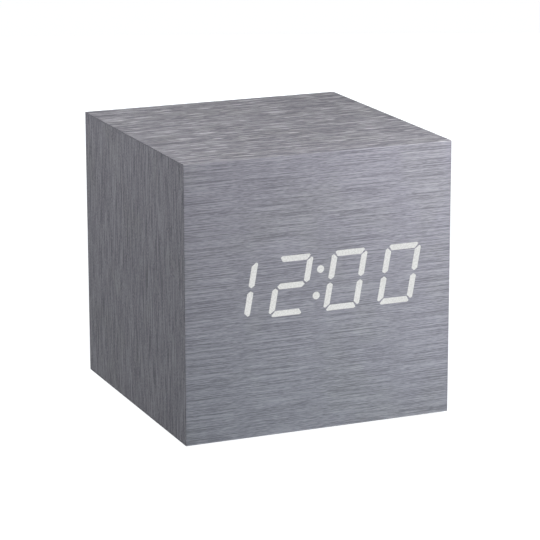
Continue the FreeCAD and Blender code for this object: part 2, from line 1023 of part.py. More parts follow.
def push_button(centre_x):
    tip_y = panel_outer + button_stand_out
    tip = Vector(centre_x, tip_y, button_row)
    cap = rod(button_diameter, Vector(centre_x, flange_low, button_row), tip)
    rim = [edge for edge in cap.Edges if same_place(edge, tip)]
    cap = cap.makeFillet(button_edge_radius, rim)
    flange_end = Vector(centre_x, flange_top, button_row)
    flange = rod(button_flange_diameter, Vector(centre_x, flange_low, button_row), flange_end)
    stem_start = Vector(centre_x, dome_top + dome_gap, button_row)
    stem = rod(button_stem_diameter, stem_start, flange_end)
    return cap.fuse([flange, stem]).removeSplitter()


def switch_housing(centre_x):
    block = box(
        centre_x - switch_width / 2,
        centre_x + switch_width / 2,
        main_board_back,
        switch_top,
        button_row - switch_width / 2,
        button_row + switch_width / 2,
    )
    chamber_diameter = dome_diameter + 2 * switch_bore_clearance
    floor = Vector(centre_x, dome_base, button_row)
    lid = Vector(centre_x, switch_top - switch_lid, button_row)
    chamber = rod(chamber_diameter, floor, lid)
    bore_end = Vector(centre_x, switch_top + overrun, button_row)
    bore = rod(button_stem_diameter + 2 * switch_bore_clearance, floor, bore_end)
    return block.cut([chamber, bore])


def switch_dome(centre_x):
    """Thin domed snap disc, turned about the button's own line."""
    half = dome_diameter / 2
    faces = []
    for reach, rise in ((half, dome_height), (half - dome_thickness, dome_height - dome_thickness)):
        radius = (reach * reach + rise * rise) / (2 * rise)
        centre = Vector(centre_x, dome_base + rise - radius, button_row)
        faces.append(Part.makeSphere(radius, centre))
    shell = faces[0].cut(faces[1])
    keep = rod(
        dome_diameter + overrun,
        Vector(centre_x, dome_base, button_row),
        Vector(centre_x, dome_top + overrun, button_row),
    )
    return shell.common(keep)


# Slide switch
slide_floor = main_board_back + slide_switch_wall
slide_roof = main_board_back + slide_switch_height - slide_switch_wall


def slide_box(half_length, half_width_z, low_y, high_y, shift):
    return box(
        slide_switch_x + shift - half_length,
        slide_switch_x + shift + half_length,
        low_y,
        high_y,
        slide_switch_z - half_width_z,
        slide_switch_z + half_width_z,
    )


def voice_switch_housing():
    top = main_board_back + slide_switch_height
    block = slide_box(slide_switch_length / 2, slide_switch_width / 2, main_board_back, top, 0)
    room = slide_box(
        slide_switch_length / 2 - slide_switch_wall,
        slide_switch_width / 2 - slide_switch_wall,
        slide_floor,
        slide_roof,
        0,
    )
    slot = slide_box(slide_slot_length / 2, slide_slot_width / 2, slide_floor, top + overrun, 0)
    return block.cut([room, slot])


def voice_switch_knob():
    """Slider block with the lever that comes out through the panel, in its off place."""
    shift = -slide_travel / 2
    block_width = slide_switch_width / 2 - slide_switch_wall - slide_clearance
    low = slide_floor + slide_clearance
    block = slide_box(slide_block_length / 2, block_width, low, slide_roof - slide_clearance, shift)
    end = panel_outer + slide_lever_stand_out
    lever = slide_box(slide_lever_length / 2, slide_lever_width / 2, low, end, shift)
    top_edges = [edge for edge in lever.Edges if edge.BoundBox.YMin > end - slide_clearance / 2]
    lever = lever.makeFillet(slide_lever_width / 8, top_edges)
    return block.fuse(lever).removeSplitter()


# Power socket
def power_socket_shell():
    face_y = panel_outer - plug_recess_depth - socket_depth_below_face
    whole = socket_block(0, main_board_back, face_y)
    inside = rounded_plate(
        socket_x,
        socket_z,
        socket_width - 2 * socket_wall,
        socket_opening_height,
        socket_corner_radius - socket_wall,
        main_board_back + socket_base_thickness,
        face_y + overrun,
    )
    return whole.cut(inside)


def power_socket_tongue():
    base = main_board_back + socket_base_thickness
    face_y = panel_outer - plug_recess_depth - socket_depth_below_face
    tip = face_y - tongue_thickness
    return box(
        socket_x - tongue_width / 2,
        socket_x + tongue_width / 2,
        base,
        tip,
        socket_z - tongue_thickness / 2,
        socket_z + tongue_thickness / 2,
    )


# Microphone
def microphone_capsule():
    front = panel_inner - microphone_face_gap
    back = front - microphone_height
    start = Vector(microphone_x, back, microphone_z)
    can = rod(microphone_diameter, start, Vector(microphone_x, front, microphone_z))
    pins = []
    for side in (-1, 1):
        pin_x = microphone_x + side * microphone_pin_pitch / 2
        start = Vector(pin_x, main_board_back, microphone_z)
        end = Vector(pin_x, front - microphone_height / 2, microphone_z)
        pins.append(rod(microphone_pin_diameter, start, end))
    return can.fuse(pins).removeSplitter()


save("rear_panel", rear_panel())
save("rear_panel_screws", *[countersunk_screw(place) for place in panel_screws])
save("main_circuit_board", main_circuit_board())
for name, centre_x in zip(button_names, button_places):
    save(name, push_button(centre_x))
save("button_switch_housings", *[switch_housing(centre_x) for centre_x in button_places])
save("button_switch_domes", *[switch_dome(centre_x) for centre_x in button_places])
save("voice_switch_housing", voice_switch_housing())
save("voice_switch_knob", voice_switch_knob())
save("power_socket_shell", power_socket_shell())
save("power_socket_tongue", power_socket_tongue())
save("microphone_capsule", microphone_capsule())


# Speaker, from the panel inwards
speaker_radius = speaker_diameter / 2
gasket_thickness = cone_travel + cone_front_clearance
gasket_low = panel_inner - gasket_thickness
rim_low = gasket_low - surround_thickness
frame_flange_low = rim_low - frame_sheet
frame_floor_high = rim_low - frame_depth + frame_sheet
frame_floor_low = frame_floor_high - frame_sheet
frame_wall_outer = speaker_radius - frame_flange_width
frame_wall_inner = frame_wall_outer - frame_sheet
yoke_radius = yoke_diameter / 2
yoke_inner = yoke_radius - yoke_wall
yoke_back = frame_floor_low - yoke_height
yoke_inside = yoke_back + yoke_floor
magnet_radius = yoke_inner - pole_gap
pole_low = frame_floor_low - pole_plate_thickness
coil_inner = magnet_radius + coil_pole_clearance
coil_outer = coil_inner + coil_thickness
coil_top = frame_floor_low + coil_rise
coil_low = coil_top - coil_height
frame_floor_inner = yoke_inner + coil_pole_clearance / 3
cone_radius = frame_wall_inner - 2 * roll_radius - cone_rim_width
cone_rim_high = rim_low
cone_rim_low = cone_rim_high - cone_sheet


def speaker_frame():
    """Pressed basket: flange, wall and floor, with a tab for the two leads."""
    profile = [
        (speaker_radius, rim_low),
        (frame_wall_inner, rim_low),
        (frame_wall_inner, frame_floor_high),
        (frame_floor_inner, frame_floor_high),
        (frame_floor_inner, frame_floor_low),
        (frame_wall_outer, frame_floor_low),
        (frame_wall_outer, frame_flange_low),
        (speaker_radius, frame_flange_low),
    ]
    body = turned(profile, speaker_x, speaker_z)
    tab = box(
        speaker_x - speaker_radius - terminal_reach,
        speaker_x - frame_wall_inner + terminal_reach,
        frame_floor_low - terminal_thickness,
        frame_floor_low,
        speaker_z - terminal_width / 2,
        speaker_z + terminal_width / 2,
    )
    return body.fuse(tab).removeSplitter()


def speaker_yoke():
    profile = [
        (0, yoke_back),
        (yoke_radius, yoke_back),
        (yoke_radius, frame_floor_low),
        (yoke_inner, frame_floor_low),
        (yoke_inner, yoke_inside),
        (0, yoke_inside),
    ]
    return turned(profile, speaker_x, speaker_z)


def disc(radius, low_y, high_y):
    return rod(2 * radius, Vector(speaker_x, low_y, speaker_z), Vector(speaker_x, high_y, speaker_z))


def voice_coil():
    low = Vector(speaker_x, coil_low, speaker_z)
    return ring(2 * coil_outer, 2 * coil_inner, low, Vector(speaker_x, coil_top, speaker_z))


def speaker_cone():
    """Cone with a domed cap. It is glued to the top of the voice coil."""
    slope = [
        (coil_inner, coil_top),
        (coil_outer, coil_top),
        (cone_radius, cone_rim_low),
        (cone_radius + cone_rim_width, cone_rim_low),
        (cone_radius + cone_rim_width, cone_rim_high),
        (cone_radius - cone_sheet / 2, cone_rim_high),
        (coil_outer, coil_top + cone_sheet),
        (coil_inner, coil_top + cone_sheet),
    ]
    cone = turned(slope, speaker_x, speaker_z)
    spheres = []
    for reach, rise in (
        (coil_outer, cone_dome_height + cone_sheet),
        (coil_outer - cone_sheet, cone_dome_height),
    ):
        radius = (reach * reach + rise * rise) / (2 * rise)
        spheres.append(Part.makeSphere(radius, Vector(speaker_x, coil_top + rise - radius, speaker_z)))
    cap = spheres[0].cut(spheres[1]).common(disc(coil_outer + overrun, coil_top, rim_low + overrun))
    return cone.fuse(cap).removeSplitter()


def speaker_surround():
    """Thin rim with a half-round roll that lets the cone move."""
    inner_edge = cone_radius + cone_rim_width / 2
    roll_start = cone_radius + cone_rim_width
    roll_end = roll_start + 2 * roll_radius
    middle = roll_start + roll_radius

    def at(radius, y):
        return Vector(speaker_x + radius, y, speaker_z)

    outer_roll = Part.Arc(
        at(roll_end, rim_low), at(middle, rim_low - roll_radius), at(roll_start, rim_low)
    )
    inner_roll = Part.Arc(
        at(roll_start + surround_thickness, gasket_low),
        at(middle, gasket_low - roll_radius + surround_thickness / 3),
        at(roll_end - surround_thickness, gasket_low),
    )
    edges = [
        outer_roll.toShape(),
        Part.makeLine(at(roll_start, rim_low), at(inner_edge, rim_low)),
        Part.makeLine(at(inner_edge, rim_low), at(inner_edge, gasket_low)),
        Part.makeLine(at(inner_edge, gasket_low), at(roll_start + surround_thickness, gasket_low)),
        inner_roll.toShape(),
        Part.makeLine(at(roll_end - surround_thickness, gasket_low), at(speaker_radius, gasket_low)),
        Part.makeLine(at(speaker_radius, gasket_low), at(speaker_radius, rim_low)),
        Part.makeLine(at(speaker_radius, rim_low), at(roll_end, rim_low)),
    ]
    face = Part.Face(Part.Wire(edges))
    return face.revolve(Vector(speaker_x, 0, speaker_z), Vector(0, 1, 0), 360)


def speaker_gasket():
    low = Vector(speaker_x, gasket_low, speaker_z)
    high = Vector(speaker_x, panel_inner, speaker_z)
    return ring(speaker_diameter, speaker_diameter - 2 * gasket_width, low, high)


save("speaker_gasket", speaker_gasket())
save("speaker_surround", speaker_surround())
save("speaker_frame", speaker_frame())
save("speaker_yoke", speaker_yoke())
save("speaker_magnet", disc(magnet_radius, yoke_inside, pole_low))
save("speaker_pole_plate", disc(magnet_radius, pole_low, frame_floor_low))
save("voice_coil", voice_coil())
save("speaker_cone", speaker_cone())


# Wires, springs and the ribbon
def bent_path(points):
    """Straight runs joined by arcs as large as the runs allow, and the radii."""
    edges = []
    radii = []
    last = points[0]
    for index in range(1, len(points) - 1):
        here = points[index]
        back = points[index - 1].sub(here)
        onward = points[index + 1].sub(here)
        half_turn = (math.pi - back.getAngle(onward)) / 2
        reach = 0.45 * min(back.Length, onward.Length)
        radius = reach / math.tan(half_turn)
        start = here.add(unit(back) * reach)
        end = here.add(unit(onward) * reach)
        inward = unit(unit(back).add(unit(onward)))
        middle = here.add(inward * (radius / math.cos(half_turn) - radius))
        edges.append(Part.LineSegment(last, start).toShape())
        edges.append(Part.Arc(start, middle, end).toShape())
        radii.append(round(radius, 2))
        last = end
    edges.append(Part.LineSegment(last, points[-1]).toShape())
    return Part.Wire(edges), radii


def swept(path, section):
    pipe = Part.BRepOffsetAPI.MakePipeShell(path)
    pipe.add(section)
    pipe.build()
    pipe.makeSolid()
    return pipe.shape()


def wire_lead(name, points, diameter):
    path, radii = bent_path(points)
    circle = Part.makeCircle(diameter / 2, points[0], points[1].sub(points[0]))
    solid = swept(path, Part.Wire([circle]))
    expected = math.pi * diameter * diameter / 4 * path.Length
    ratio = round(solid.Volume / expected, 4)
    print(name, "radii", radii, "length", round(path.Length, 1), "volume ratio", ratio)
    return solid


def between(start, end, shares):
    """Points of a route, each a share of the way along X, Y and Z."""
    way = end.sub(start)
    return [
        Vector(start.x + way.x * along_x, start.y + way.y * along_y, start.z + way.z * along_z)
        for along_x, along_y, along_z in shares
    ]


def biarc(start, start_way, end, end_way):
    """Two arcs that join two points and keep the direction at both."""
    chord = end.sub(start)
    ways = start_way.add(end_way)
    bend = 2 * (1 - start_way.dot(end_way))
    product = chord.dot(ways)
    reach = (-product + math.sqrt(product * product + bend * chord.dot(chord))) / bend
    first_knee = start.add(start_way * reach)
    last_knee = end.sub(end_way * reach)
    joint = first_knee.add(last_knee) * 0.5
    return [knee_arc(start, first_knee, joint), knee_arc(joint, last_knee, end)]


def knee_arc(start, knee, end):
    chord = end.sub(start)
    middle = start.add(end) * 0.5
    height = knee.sub(middle)
    half_turn = chord.getAngle(knee.sub(start))
    rise = chord.Length / 2 * math.tan(half_turn / 2)
    return Part.Arc(start, middle.add(unit(height) * rise), end).toShape()


def spring_point(start_x, end_x, row_y, share):
    """Centre of the wire at a share of the way from the cell to the contact."""
    angle = 2 * math.pi * spring_turns * share
    narrow = (spring_narrow_diameter - spring_wire) / 2
    wide = (spring_wide_diameter - spring_wire) / 2
    radius = narrow + (wide - narrow) * share
    return Vector(
        start_x + (end_x - start_x) * share,
        row_y + radius * math.cos(angle),
        cell_axis_z + radius * math.sin(angle),
    )


def battery_spring(cell_end, plate_face, row_y):
    """Cone-shaped coil, one unbroken wire, made from arcs of under half a turn."""
    way = 1 if plate_face > cell_end else -1
    start_x = cell_end + way * (spring_end_gap + spring_wire / 2)
    end_x = plate_face - way * (spring_end_gap + spring_wire / 2)
    steps = 4 * spring_turns
    small = 1 / (steps * 1000)

    def place(share):
        return spring_point(start_x, end_x, row_y, share)

    def heading(share):
        return unit(place(share + small).sub(place(share - small)))

    edges = []
    for step in range(steps):
        here = step / steps
        there = (step + 1) / steps
        edges += biarc(place(here), heading(here), place(there), heading(there))
    circle = Part.makeCircle(spring_wire / 2, place(0), heading(0))
    return swept(Part.Wire(edges), Part.Wire([circle]))


def spring_least_gap():
    """Least gap of a spring to itself, measured on points half a turn apart or more."""
    length = spring_room - 2 * spring_end_gap - spring_wire
    per_turn = 24
    count = per_turn * spring_turns + 1
    points = [spring_point(0, length, 0, index / (count - 1)) for index in range(count)]
    least = min(
        points[first].distanceToPoint(points[second])
        for first in range(count)
        for second in range(first + per_turn // 2, count)
    )
    return least - spring_wire


# Battery compartment
end_wall = tray_inner_x - contact_thickness
door_front = -(tray_inner_y - door_end_gap)
hinge_y = tray_inner_y - door_end_gap - door_thickness / 2
hinge_z = door_low + door_thickness / 2
door_half_width = tray_inner_x - door_side_gap
latch_depth = 2 * latch_sheet + latch_slot
latch_top = door_high + latch_rise
hook_low = door_low + latch_hook_rise
hook_high = hook_low + latch_hook_height
positive_sides = [-1 if row % 2 == 0 else 1 for row in range(cell_count)]
tab_top = tray_top + contact_tab_rise
single_rows = (0, cell_count - 1)


def battery_tray():
    walls = box(-tray_outer_x, tray_outer_x, -tray_outer_y, tray_outer_y, case_bottom, tray_top)
    added = []
    for side_x in (-1, 1):
        middle = side_x * tray_ear_spacing / 2
        added.append(
            box(
                middle - tray_ear_width / 2,
                middle + tray_ear_width / 2,
                -tray_ear_end,
                tray_ear_end,
                cavity_bottom,
                ear_top,
            )
        )
    body = walls.fuse(added)
    room = box(
        -tray_inner_x, tray_inner_x, -tray_inner_y, tray_inner_y, case_bottom - overrun, tray_roof
    )
    ribs = []
    for row in range(cell_count - 1):
        middle = (cell_rows[row] + cell_rows[row + 1]) / 2
        ribs.append(
            box(
                -tray_inner_x + tray_rib_end_gap,
                tray_inner_x - tray_rib_end_gap,
                middle - tray_rib_width / 2,
                middle + tray_rib_width / 2,
                tray_roof - tray_rib_depth,
                tray_roof + tray_wall / 2,
            )
        )
    cuts = []
    hole = hinge_pin_diameter + 2 * hinge_pin_clearance
    cuts.append(
        rod(
            hole,
            Vector(-tray_outer_x - overrun, hinge_y, hinge_z),
            Vector(tray_outer_x + overrun, hinge_y, hinge_z),
        )
    )
    cuts.append(
        box(
            -latch_width / 2 - latch_side_gap,
            latch_width / 2 + latch_side_gap,
            door_front - latch_hook_reach - latch_hook_gap,
            0,
            hook_low - latch_hook_gap,
            hook_high + latch_hook_gap,
        )
    )
    for row in single_rows:
        cuts.append(
            box(
                -tray_inner_x,
                -end_wall + hinge_pin_clearance,
                cell_rows[row] - contact_tab_width / 2 - hinge_pin_clearance,
                cell_rows[row] + contact_tab_width / 2 + hinge_pin_clearance,
                tray_roof - overrun,
                tray_top + overrun,
            )
        )
    for place in ear_places:
        start = Vector(place.x, place.y, cavity_bottom - overrun)
        cuts.append(rod(screw_slip_bore, start, Vector(place.x, place.y, ear_top + overrun)))
    return body.cut(room).fuse(ribs).cut(cuts).removeSplitter()


def battery_cell(row):
    side = positive_sides[row]
    tip = Vector(side * end_wall, cell_rows[row], cell_axis_z)
    shoulder = Vector(side * (end_wall - cell_nub_length), tip.y, tip.z)
    tail = Vector(side * (end_wall - cell_length), tip.y, tip.z)
    body = rod(cell_diameter, tail, shoulder)
    body = body.makeFillet(cell_edge_radius, [edge for edge in body.Edges if len(edge.Vertexes) == 1])
    return body.fuse(rod(cell_nub_diameter, shoulder, tip)).removeSplitter()


def end_contact(side, rows, has_tab):
    inner = side * end_wall
    outer = side * tray_inner_x
    plate = box(
        min(inner, outer),
        max(inner, outer),
        cell_rows[rows[0]] - contact_width / 2,
        cell_rows[rows[-1]] + contact_width / 2,
        cell_axis_z - contact_height / 2,
        cell_axis_z + contact_height / 2,
    )
    if not has_tab:
        return plate
    tab = box(
        min(inner, outer),
        max(inner, outer),
        cell_rows[rows[0]] - contact_tab_width / 2,
        cell_rows[rows[0]] + contact_tab_width / 2,
        cell_axis_z,
        tab_top,
    )
    return plate.fuse(tab).removeSplitter()


def battery_contacts():
    plates = [end_contact(-1, (row,), True) for row in single_rows]
    plates += [end_contact(-1, (row, row + 1), False) for row in range(1, cell_count - 2, 2)]
    plates += [end_contact(1, (row, row + 1), False) for row in range(0, cell_count - 1, 2)]
    return plates


def battery_door():
    plate = box(-door_half_width, door_half_width, door_front, hinge_y, door_low, door_high)
    left = Vector(-door_half_width, hinge_y, hinge_z)
    edge = rod(door_thickness, left, Vector(door_half_width, hinge_y, hinge_z))
    reach = door_half_width + hinge_pin_length
    pins = rod(hinge_pin_diameter, Vector(-reach, hinge_y, hinge_z), Vector(reach, hinge_y, hinge_z))
    notch = box(
        -latch_width / 2 - latch_side_gap,
        latch_width / 2 + latch_side_gap,
        door_front - overrun,
        door_front + latch_depth,
        door_low - overrun,
        door_high + overrun,
    )
    cuts = [notch]
    for groove in range(grip_groove_count):
        middle = door_front + latch_depth + (groove + 1) * grip_groove_pitch
        cuts.append(
            box(
                -grip_groove_length / 2,
                grip_groove_length / 2,
                middle - grip_groove_width / 2,
                middle + grip_groove_width / 2,
                door_low - overrun,
                door_low + grip_groove_depth,
            )
        )
    return plate.fuse([edge, pins]).cut(cuts).removeSplitter()


def battery_door_latch():
    """Folded spring finger with a hook. It bends when the door is opened."""
    half = latch_width / 2
    body = box(-half, half, door_front, door_front + latch_depth, door_low, latch_top)
    slot_start = door_front + latch_sheet
    slot = box(
        -half - overrun,
        half + overrun,
        slot_start,
        slot_start + latch_slot,
        door_low - overrun,
        latch_top - latch_sheet,
    )
    profile = [
        Vector(-half, door_front + latch_sheet / 2, hook_low),
        Vector(-half, door_front - latch_hook_reach, hook_high),
        Vector(-half, door_front + latch_sheet / 2, hook_high),
    ]
    hook = polygon_face(profile).extrude(Vector(latch_width, 0, 0))
    return body.cut(slot).fuse(hook).removeSplitter()


save("battery_tray", battery_tray())
save("aaa_cells", *[battery_cell(row) for row in range(cell_count)])
save("battery_plate_contacts", *battery_contacts())
springs = []
for row in range(cell_count):
    side = positive_sides[row]
    springs.append(battery_spring(side * (end_wall - cell_length), -side * end_wall, cell_rows[row]))
save("battery_springs", *springs)
print("spring least gap to itself", round(spring_least_gap(), 2))
save("battery_door", battery_door())
save("battery_door_latch", battery_door_latch())


# Parts on the inner side of the main circuit board
def coin_places():
    back = main_board_front - holder_floor
    return back, back - coin_thickness


def backup_cell():
    back, front = coin_places()
    radius = coin_diameter / 2
    profile = [
        (0, back),
        (radius - coin_edge, back),
        (radius, back - coin_edge),
        (radius, front + coin_edge),
        (radius - 2 * coin_edge, front + coin_edge),
        (radius - 3 * coin_edge, front),
        (0, front),
    ]
    return turned(profile, coin_x, main_board_middle + coin_rise)


def backup_cell_holder():
    """Cup with a bridge across the front that keeps the coin cell in."""
    back, front = coin_places()
    centre_z = main_board_middle + coin_rise
    inner = coin_diameter / 2 + holder_clearance
    outer = inner + holder_wall
    rim = back - coin_thickness * holder_height_share
    profile = [
        (0, main_board_front),
        (outer, main_board_front),
        (outer, rim),
        (inner, rim),
        (inner, back),
        (0, back),
    ]
    cup = turned(profile, coin_x, centre_z)
    bridge_high = front - holder_clearance
    bridge_low = bridge_high - holder_floor
    bridge = box(
        coin_x - outer,
        coin_x + outer,
        bridge_low,
        bridge_high,
        centre_z - holder_arm_width / 2,
        centre_z + holder_arm_width / 2,
    )
    start = Vector(coin_x, bridge_low, centre_z)
    end = Vector(coin_x, main_board_front, centre_z)
    posts = ring(2 * outer, 2 * inner, start, end)
    keep = box(
        coin_x - outer,
        coin_x + outer,
        bridge_low,
        main_board_front,
        centre_z - holder_arm_width / 2,
        centre_z + holder_arm_width / 2,
    )
    return cup.fuse([bridge.common(rod(2 * outer, start, end)), posts.common(keep)]).removeSplitter()


def quartz_crystal():
    high = main_board_front - crystal_gap
    axis_y = high - crystal_diameter / 2
    centre_z = main_board_middle + crystal_rise
    start = Vector(crystal_x - crystal_length / 2, axis_y, centre_z)
    can = rod(crystal_diameter, start, Vector(start.x + crystal_length, axis_y, centre_z))
    far = [edge for edge in can.Edges if edge.CenterOfMass.x > crystal_x + crystal_length / 4]
    return can.makeFillet(crystal_diameter / 6, [edge for edge in far if len(edge.Vertexes) == 1])


def capacitor(centre_z):
    radius = capacitor_diameter / 2
    base = main_board_front
    profile = [
        (0, base),
        (radius, base),
        (radius, base - capacitor_crimp_width),
        (radius - capacitor_crimp_depth, base - 1.5 * capacitor_crimp_width),
        (radius, base - 2 * capacitor_crimp_width),
        (radius, base - capacitor_height + capacitor_crimp_depth),
        (radius - capacitor_crimp_depth, base - capacitor_height),
        (0, base - capacitor_height),
    ]
    return turned(profile, capacitor_x, centre_z)


def temperature_sensor():
    centre_z = main_board_middle + sensor_rise
    bead_y = main_board_front - sensor_lift - sensor_diameter / 2
    bead = Part.makeSphere(sensor_diameter / 2, Vector(sensor_x, bead_y, centre_z))
    legs = []
    for side in (-1, 1):
        leg_x = sensor_x + side * sensor_leg_pitch / 2
        start = Vector(leg_x, bead_y, centre_z)
        legs.append(rod(sensor_leg_diameter, start, Vector(leg_x, main_board_front, centre_z)))
    return bead.fuse(legs)


ribbon_main_z = main_board_middle + ribbon_main_rise
ribbon_display_z = row_height + ribbon_display_rise
ribbon_shares = ((0, 0, 0), (0, 0.305, 0), (0, 0.69, 1), (0, 1, 1))


def ribbon_plug(low_y, high_y, centre_z):
    """Plug with a locking nub on top."""
    body = rounded_plate(
        ribbon_plug_x, centre_z, plug_width, plug_height, plug_height / 8, low_y, high_y
    )
    third = (high_y - low_y) / 3
    nub = box(
        ribbon_plug_x - plug_height / 2,
        ribbon_plug_x + plug_height / 2,
        low_y + third,
        high_y - third,
        centre_z,
        centre_z + plug_height / 2 + plug_height / 8,
    )
    return body.fuse(nub).removeSplitter()


def ribbon_cable():
    start = Vector(ribbon_plug_x, main_board_front - plug_depth, ribbon_main_z)
    end = Vector(ribbon_plug_x, display_board_back + plug_depth, ribbon_display_z)
    path, radii = bent_path(between(start, end, ribbon_shares))
    half_w = ribbon_width / 2
    half_t = ribbon_thickness / 2
    corners = [
        Vector(start.x + side_x * half_w, start.y, start.z + side_z * half_t)
        for side_x, side_z in ((-1, -1), (1, -1), (1, 1), (-1, 1))
    ]
    section = rounded_wire(corners, ribbon_thickness / 3)
    print("ribbon_cable radii", radii, "length", round(path.Length, 1))
    return swept(path, section)


def speaker_leads():
    start_x = speaker_x - speaker_radius - terminal_reach
    start_y = frame_floor_low - terminal_thickness / 2
    drop = start_y - main_board_back
    shares = ((0, 0), (0.61, 0), (1.01, 0.406), (1.01, 1))
    leads = []
    for side in (-1, 1):
        z = speaker_z + side * speaker_lead_spacing / 2
        points = [Vector(start_x - drop * along, start_y - drop * down, z) for along, down in shares]
        leads.append(wire_lead("speaker_lead", points, speaker_lead_diameter))
    return leads


long_lead_shares = ((0, 0, 0), (0, 0, 0.57), (0.05, 0.16, 1), (0.34, 0.456, 1.09), (1, 0.755, 1), (1, 1, 1))
short_lead_shares = ((0, 0, 0), (0, 0, 0.66), (0.47, 0.17, 1), (1, 0.47, 1), (1, 1, 1))


def battery_leads():
    tab_x = -(tray_inner_x + end_wall) / 2
    pad_x = -main_board_width / 2 + lead_pad_inset
    pad_z = main_board_middle - main_board_height / 2 + lead_pad_rise
    leads = []
    for row, shares, side in ((0, long_lead_shares, 1), (cell_count - 1, short_lead_shares, -1)):
        start = Vector(tab_x, cell_rows[row], tab_top)
        end = Vector(pad_x, main_board_front, pad_z + side * lead_pad_spacing / 2)
        leads.append(wire_lead("battery_lead", between(start, end, shares), lead_diameter))
    return leads


def pan_head_screws():
    screws = []
    for place in display_screws:
        clamped = display_board_thickness + mask_flange_thickness
        screws.append(pan_screw(place, Vector(0, -1, 0), clamped))
    for boss in bosses:
        seat = Vector(boss.x, main_board_front, boss.z)
        screws.append(pan_screw(seat, Vector(0, 1, 0), main_board_thickness))
    for place in ear_places:
        screws.append(pan_screw(place, Vector(0, 0, -1), tray_ear_thickness))
    return screws


def inner_chip(centre_x, rise, width, height, thickness):
    return legged_chip(
        centre_x, main_board_middle + rise, width, height, thickness, main_board_front, -1
    )


save("backup_cell", backup_cell())
save("backup_cell_holder", backup_cell_holder())
save(
    "clock_chip",
    inner_chip(clock_chip_x, clock_chip_rise, clock_chip_width, clock_chip_height, clock_chip_thickness),
)
save(
    "voice_chip",
    inner_chip(voice_chip_x, voice_chip_rise, voice_chip_width, voice_chip_height, voice_chip_thickness),
)
save("quartz_crystal", quartz_crystal())
capacitor_middle = main_board_middle + capacitor_rise
save("capacitors", *[capacitor(capacitor_middle + side * capacitor_pitch / 2) for side in (-1, 1)])
save("temperature_sensor", temperature_sensor())
save("ribbon_cable", ribbon_cable())
save(
    "ribbon_plugs",
    ribbon_plug(main_board_front - plug_depth, main_board_front, ribbon_main_z),
    ribbon_plug(display_board_back, display_board_back + plug_depth, ribbon_display_z),
)
save("speaker_leads", *speaker_leads())
save("battery_leads", *battery_leads())
save("pan_head_screws", *pan_head_screws())
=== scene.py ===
import math

import bmesh
import bpy
from bpy.props import FloatProperty, FloatVectorProperty, PointerProperty
from bpy.types import Operator, Panel, PropertyGroup
from mathutils import Matrix, Vector


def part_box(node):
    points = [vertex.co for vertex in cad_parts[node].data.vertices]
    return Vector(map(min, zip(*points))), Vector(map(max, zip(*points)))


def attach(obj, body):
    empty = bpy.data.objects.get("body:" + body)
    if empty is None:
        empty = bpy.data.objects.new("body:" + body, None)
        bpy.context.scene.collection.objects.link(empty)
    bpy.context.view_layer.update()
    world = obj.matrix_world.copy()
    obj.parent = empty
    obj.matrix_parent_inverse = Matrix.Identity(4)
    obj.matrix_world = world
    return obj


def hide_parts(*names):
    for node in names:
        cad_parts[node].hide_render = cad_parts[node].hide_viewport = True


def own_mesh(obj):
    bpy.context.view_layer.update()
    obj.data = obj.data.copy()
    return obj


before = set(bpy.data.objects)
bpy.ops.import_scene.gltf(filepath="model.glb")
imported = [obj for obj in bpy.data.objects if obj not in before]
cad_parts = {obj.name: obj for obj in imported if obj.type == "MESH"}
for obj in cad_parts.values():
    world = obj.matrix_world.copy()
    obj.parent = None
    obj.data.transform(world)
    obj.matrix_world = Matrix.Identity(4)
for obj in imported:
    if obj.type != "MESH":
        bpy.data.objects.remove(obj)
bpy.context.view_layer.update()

bl_info = {
    "name": "Talking Cube Clock",
    "version": (1, 0, 0),
    "blender": (4, 5, 0),
    "location": "3D View > Sidebar > Clock",
    "description": "Finishes and stage for a cube clock wrapped in brushed film",
    "category": "Object",
}

# Places that the frame gives, in metres as every length here
CASE_LOW, CASE_HIGH = (Vector(corner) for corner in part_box("wrap_film"))
CASE_CENTRE = (CASE_LOW + CASE_HIGH) / 2
CASE_HALF = (CASE_HIGH - CASE_LOW) / 2
PANEL_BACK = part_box("rear_panel")[1][1]
CELLS_LOW, CELLS_HIGH = (Vector(corner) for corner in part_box("aaa_cells"))

# Brush lines of the film. A line strays from straight by up to half of LINE_SWAY along each axis.
LINE_SWAY = (0.0, 0.00006, 0.00012)
SWAY_SCALE = 150.0
LONG_LINE_WEIGHT = 0.64
SHORT_LINE_WEIGHT = 0.36
# How many short lines or flecks fit in the length, depth and width of a long line
SHORT_LINE_SHARES = (14.0, 1.2, 1.2)
FLECK_SHARES = (3.0, 0.75, 0.9)
# Spans of the noise that go from a dark line to a pale one, and from bare film to a full fleck
LINE_SPAN = (0.36, 0.64)
FLECK_SPAN = (0.58, 0.66)

# Distances from an edge of the case at which its change of tone begins and is full: a painted highlight along
# the folds and a darker tone at the cut edges
EDGE_BAND = (0.0005, 0.0001)
EDGE_DARKENING = 0.2

# Battery cells: they lie in rows that point to the right and to the left by turns
CELL_ROWS = 4
CELL_GAP = 0.0004
CELL_NUB = 0.0012
CELL_BAND_BLUR = 0.00006
# Radii between which a cell's end turns from sleeve to bare can
CELL_BARE = (0.00445, 0.00435)

RIBBON_PITCH = 0.00127
# Distances from the ribbon's edge between which its marked wire ends
RIBBON_MARKED = (0.0012, 0.0011)

# Wires and plated parts
WIRE_BLUR = 0.00002
RED_SLEEVE = (0.45, 0.03, 0.02)
BLACK_SLEEVE = (0.02, 0.02, 0.02)
PLATED_STEEL = (0.72, 0.71, 0.68)

# Printed marks
MARK_THICKNESS = 0.00002
SIGN_SCALE = 1.5
SWITCH_MARK_SCALE = 0.85
MARK_ABOVE_BUTTON = 0.0052
MARK_ABOVE_SWITCH = 0.0021
SWITCH_TRAVEL_HALF = 0.001
SWITCH_MARK_SHIFT = 0.0027

# Snap domes
DOME_SHEET = 0.00012
DOME_RINGS = 9
DOME_STEPS = 40
DOME_FULLNESS = 0.8

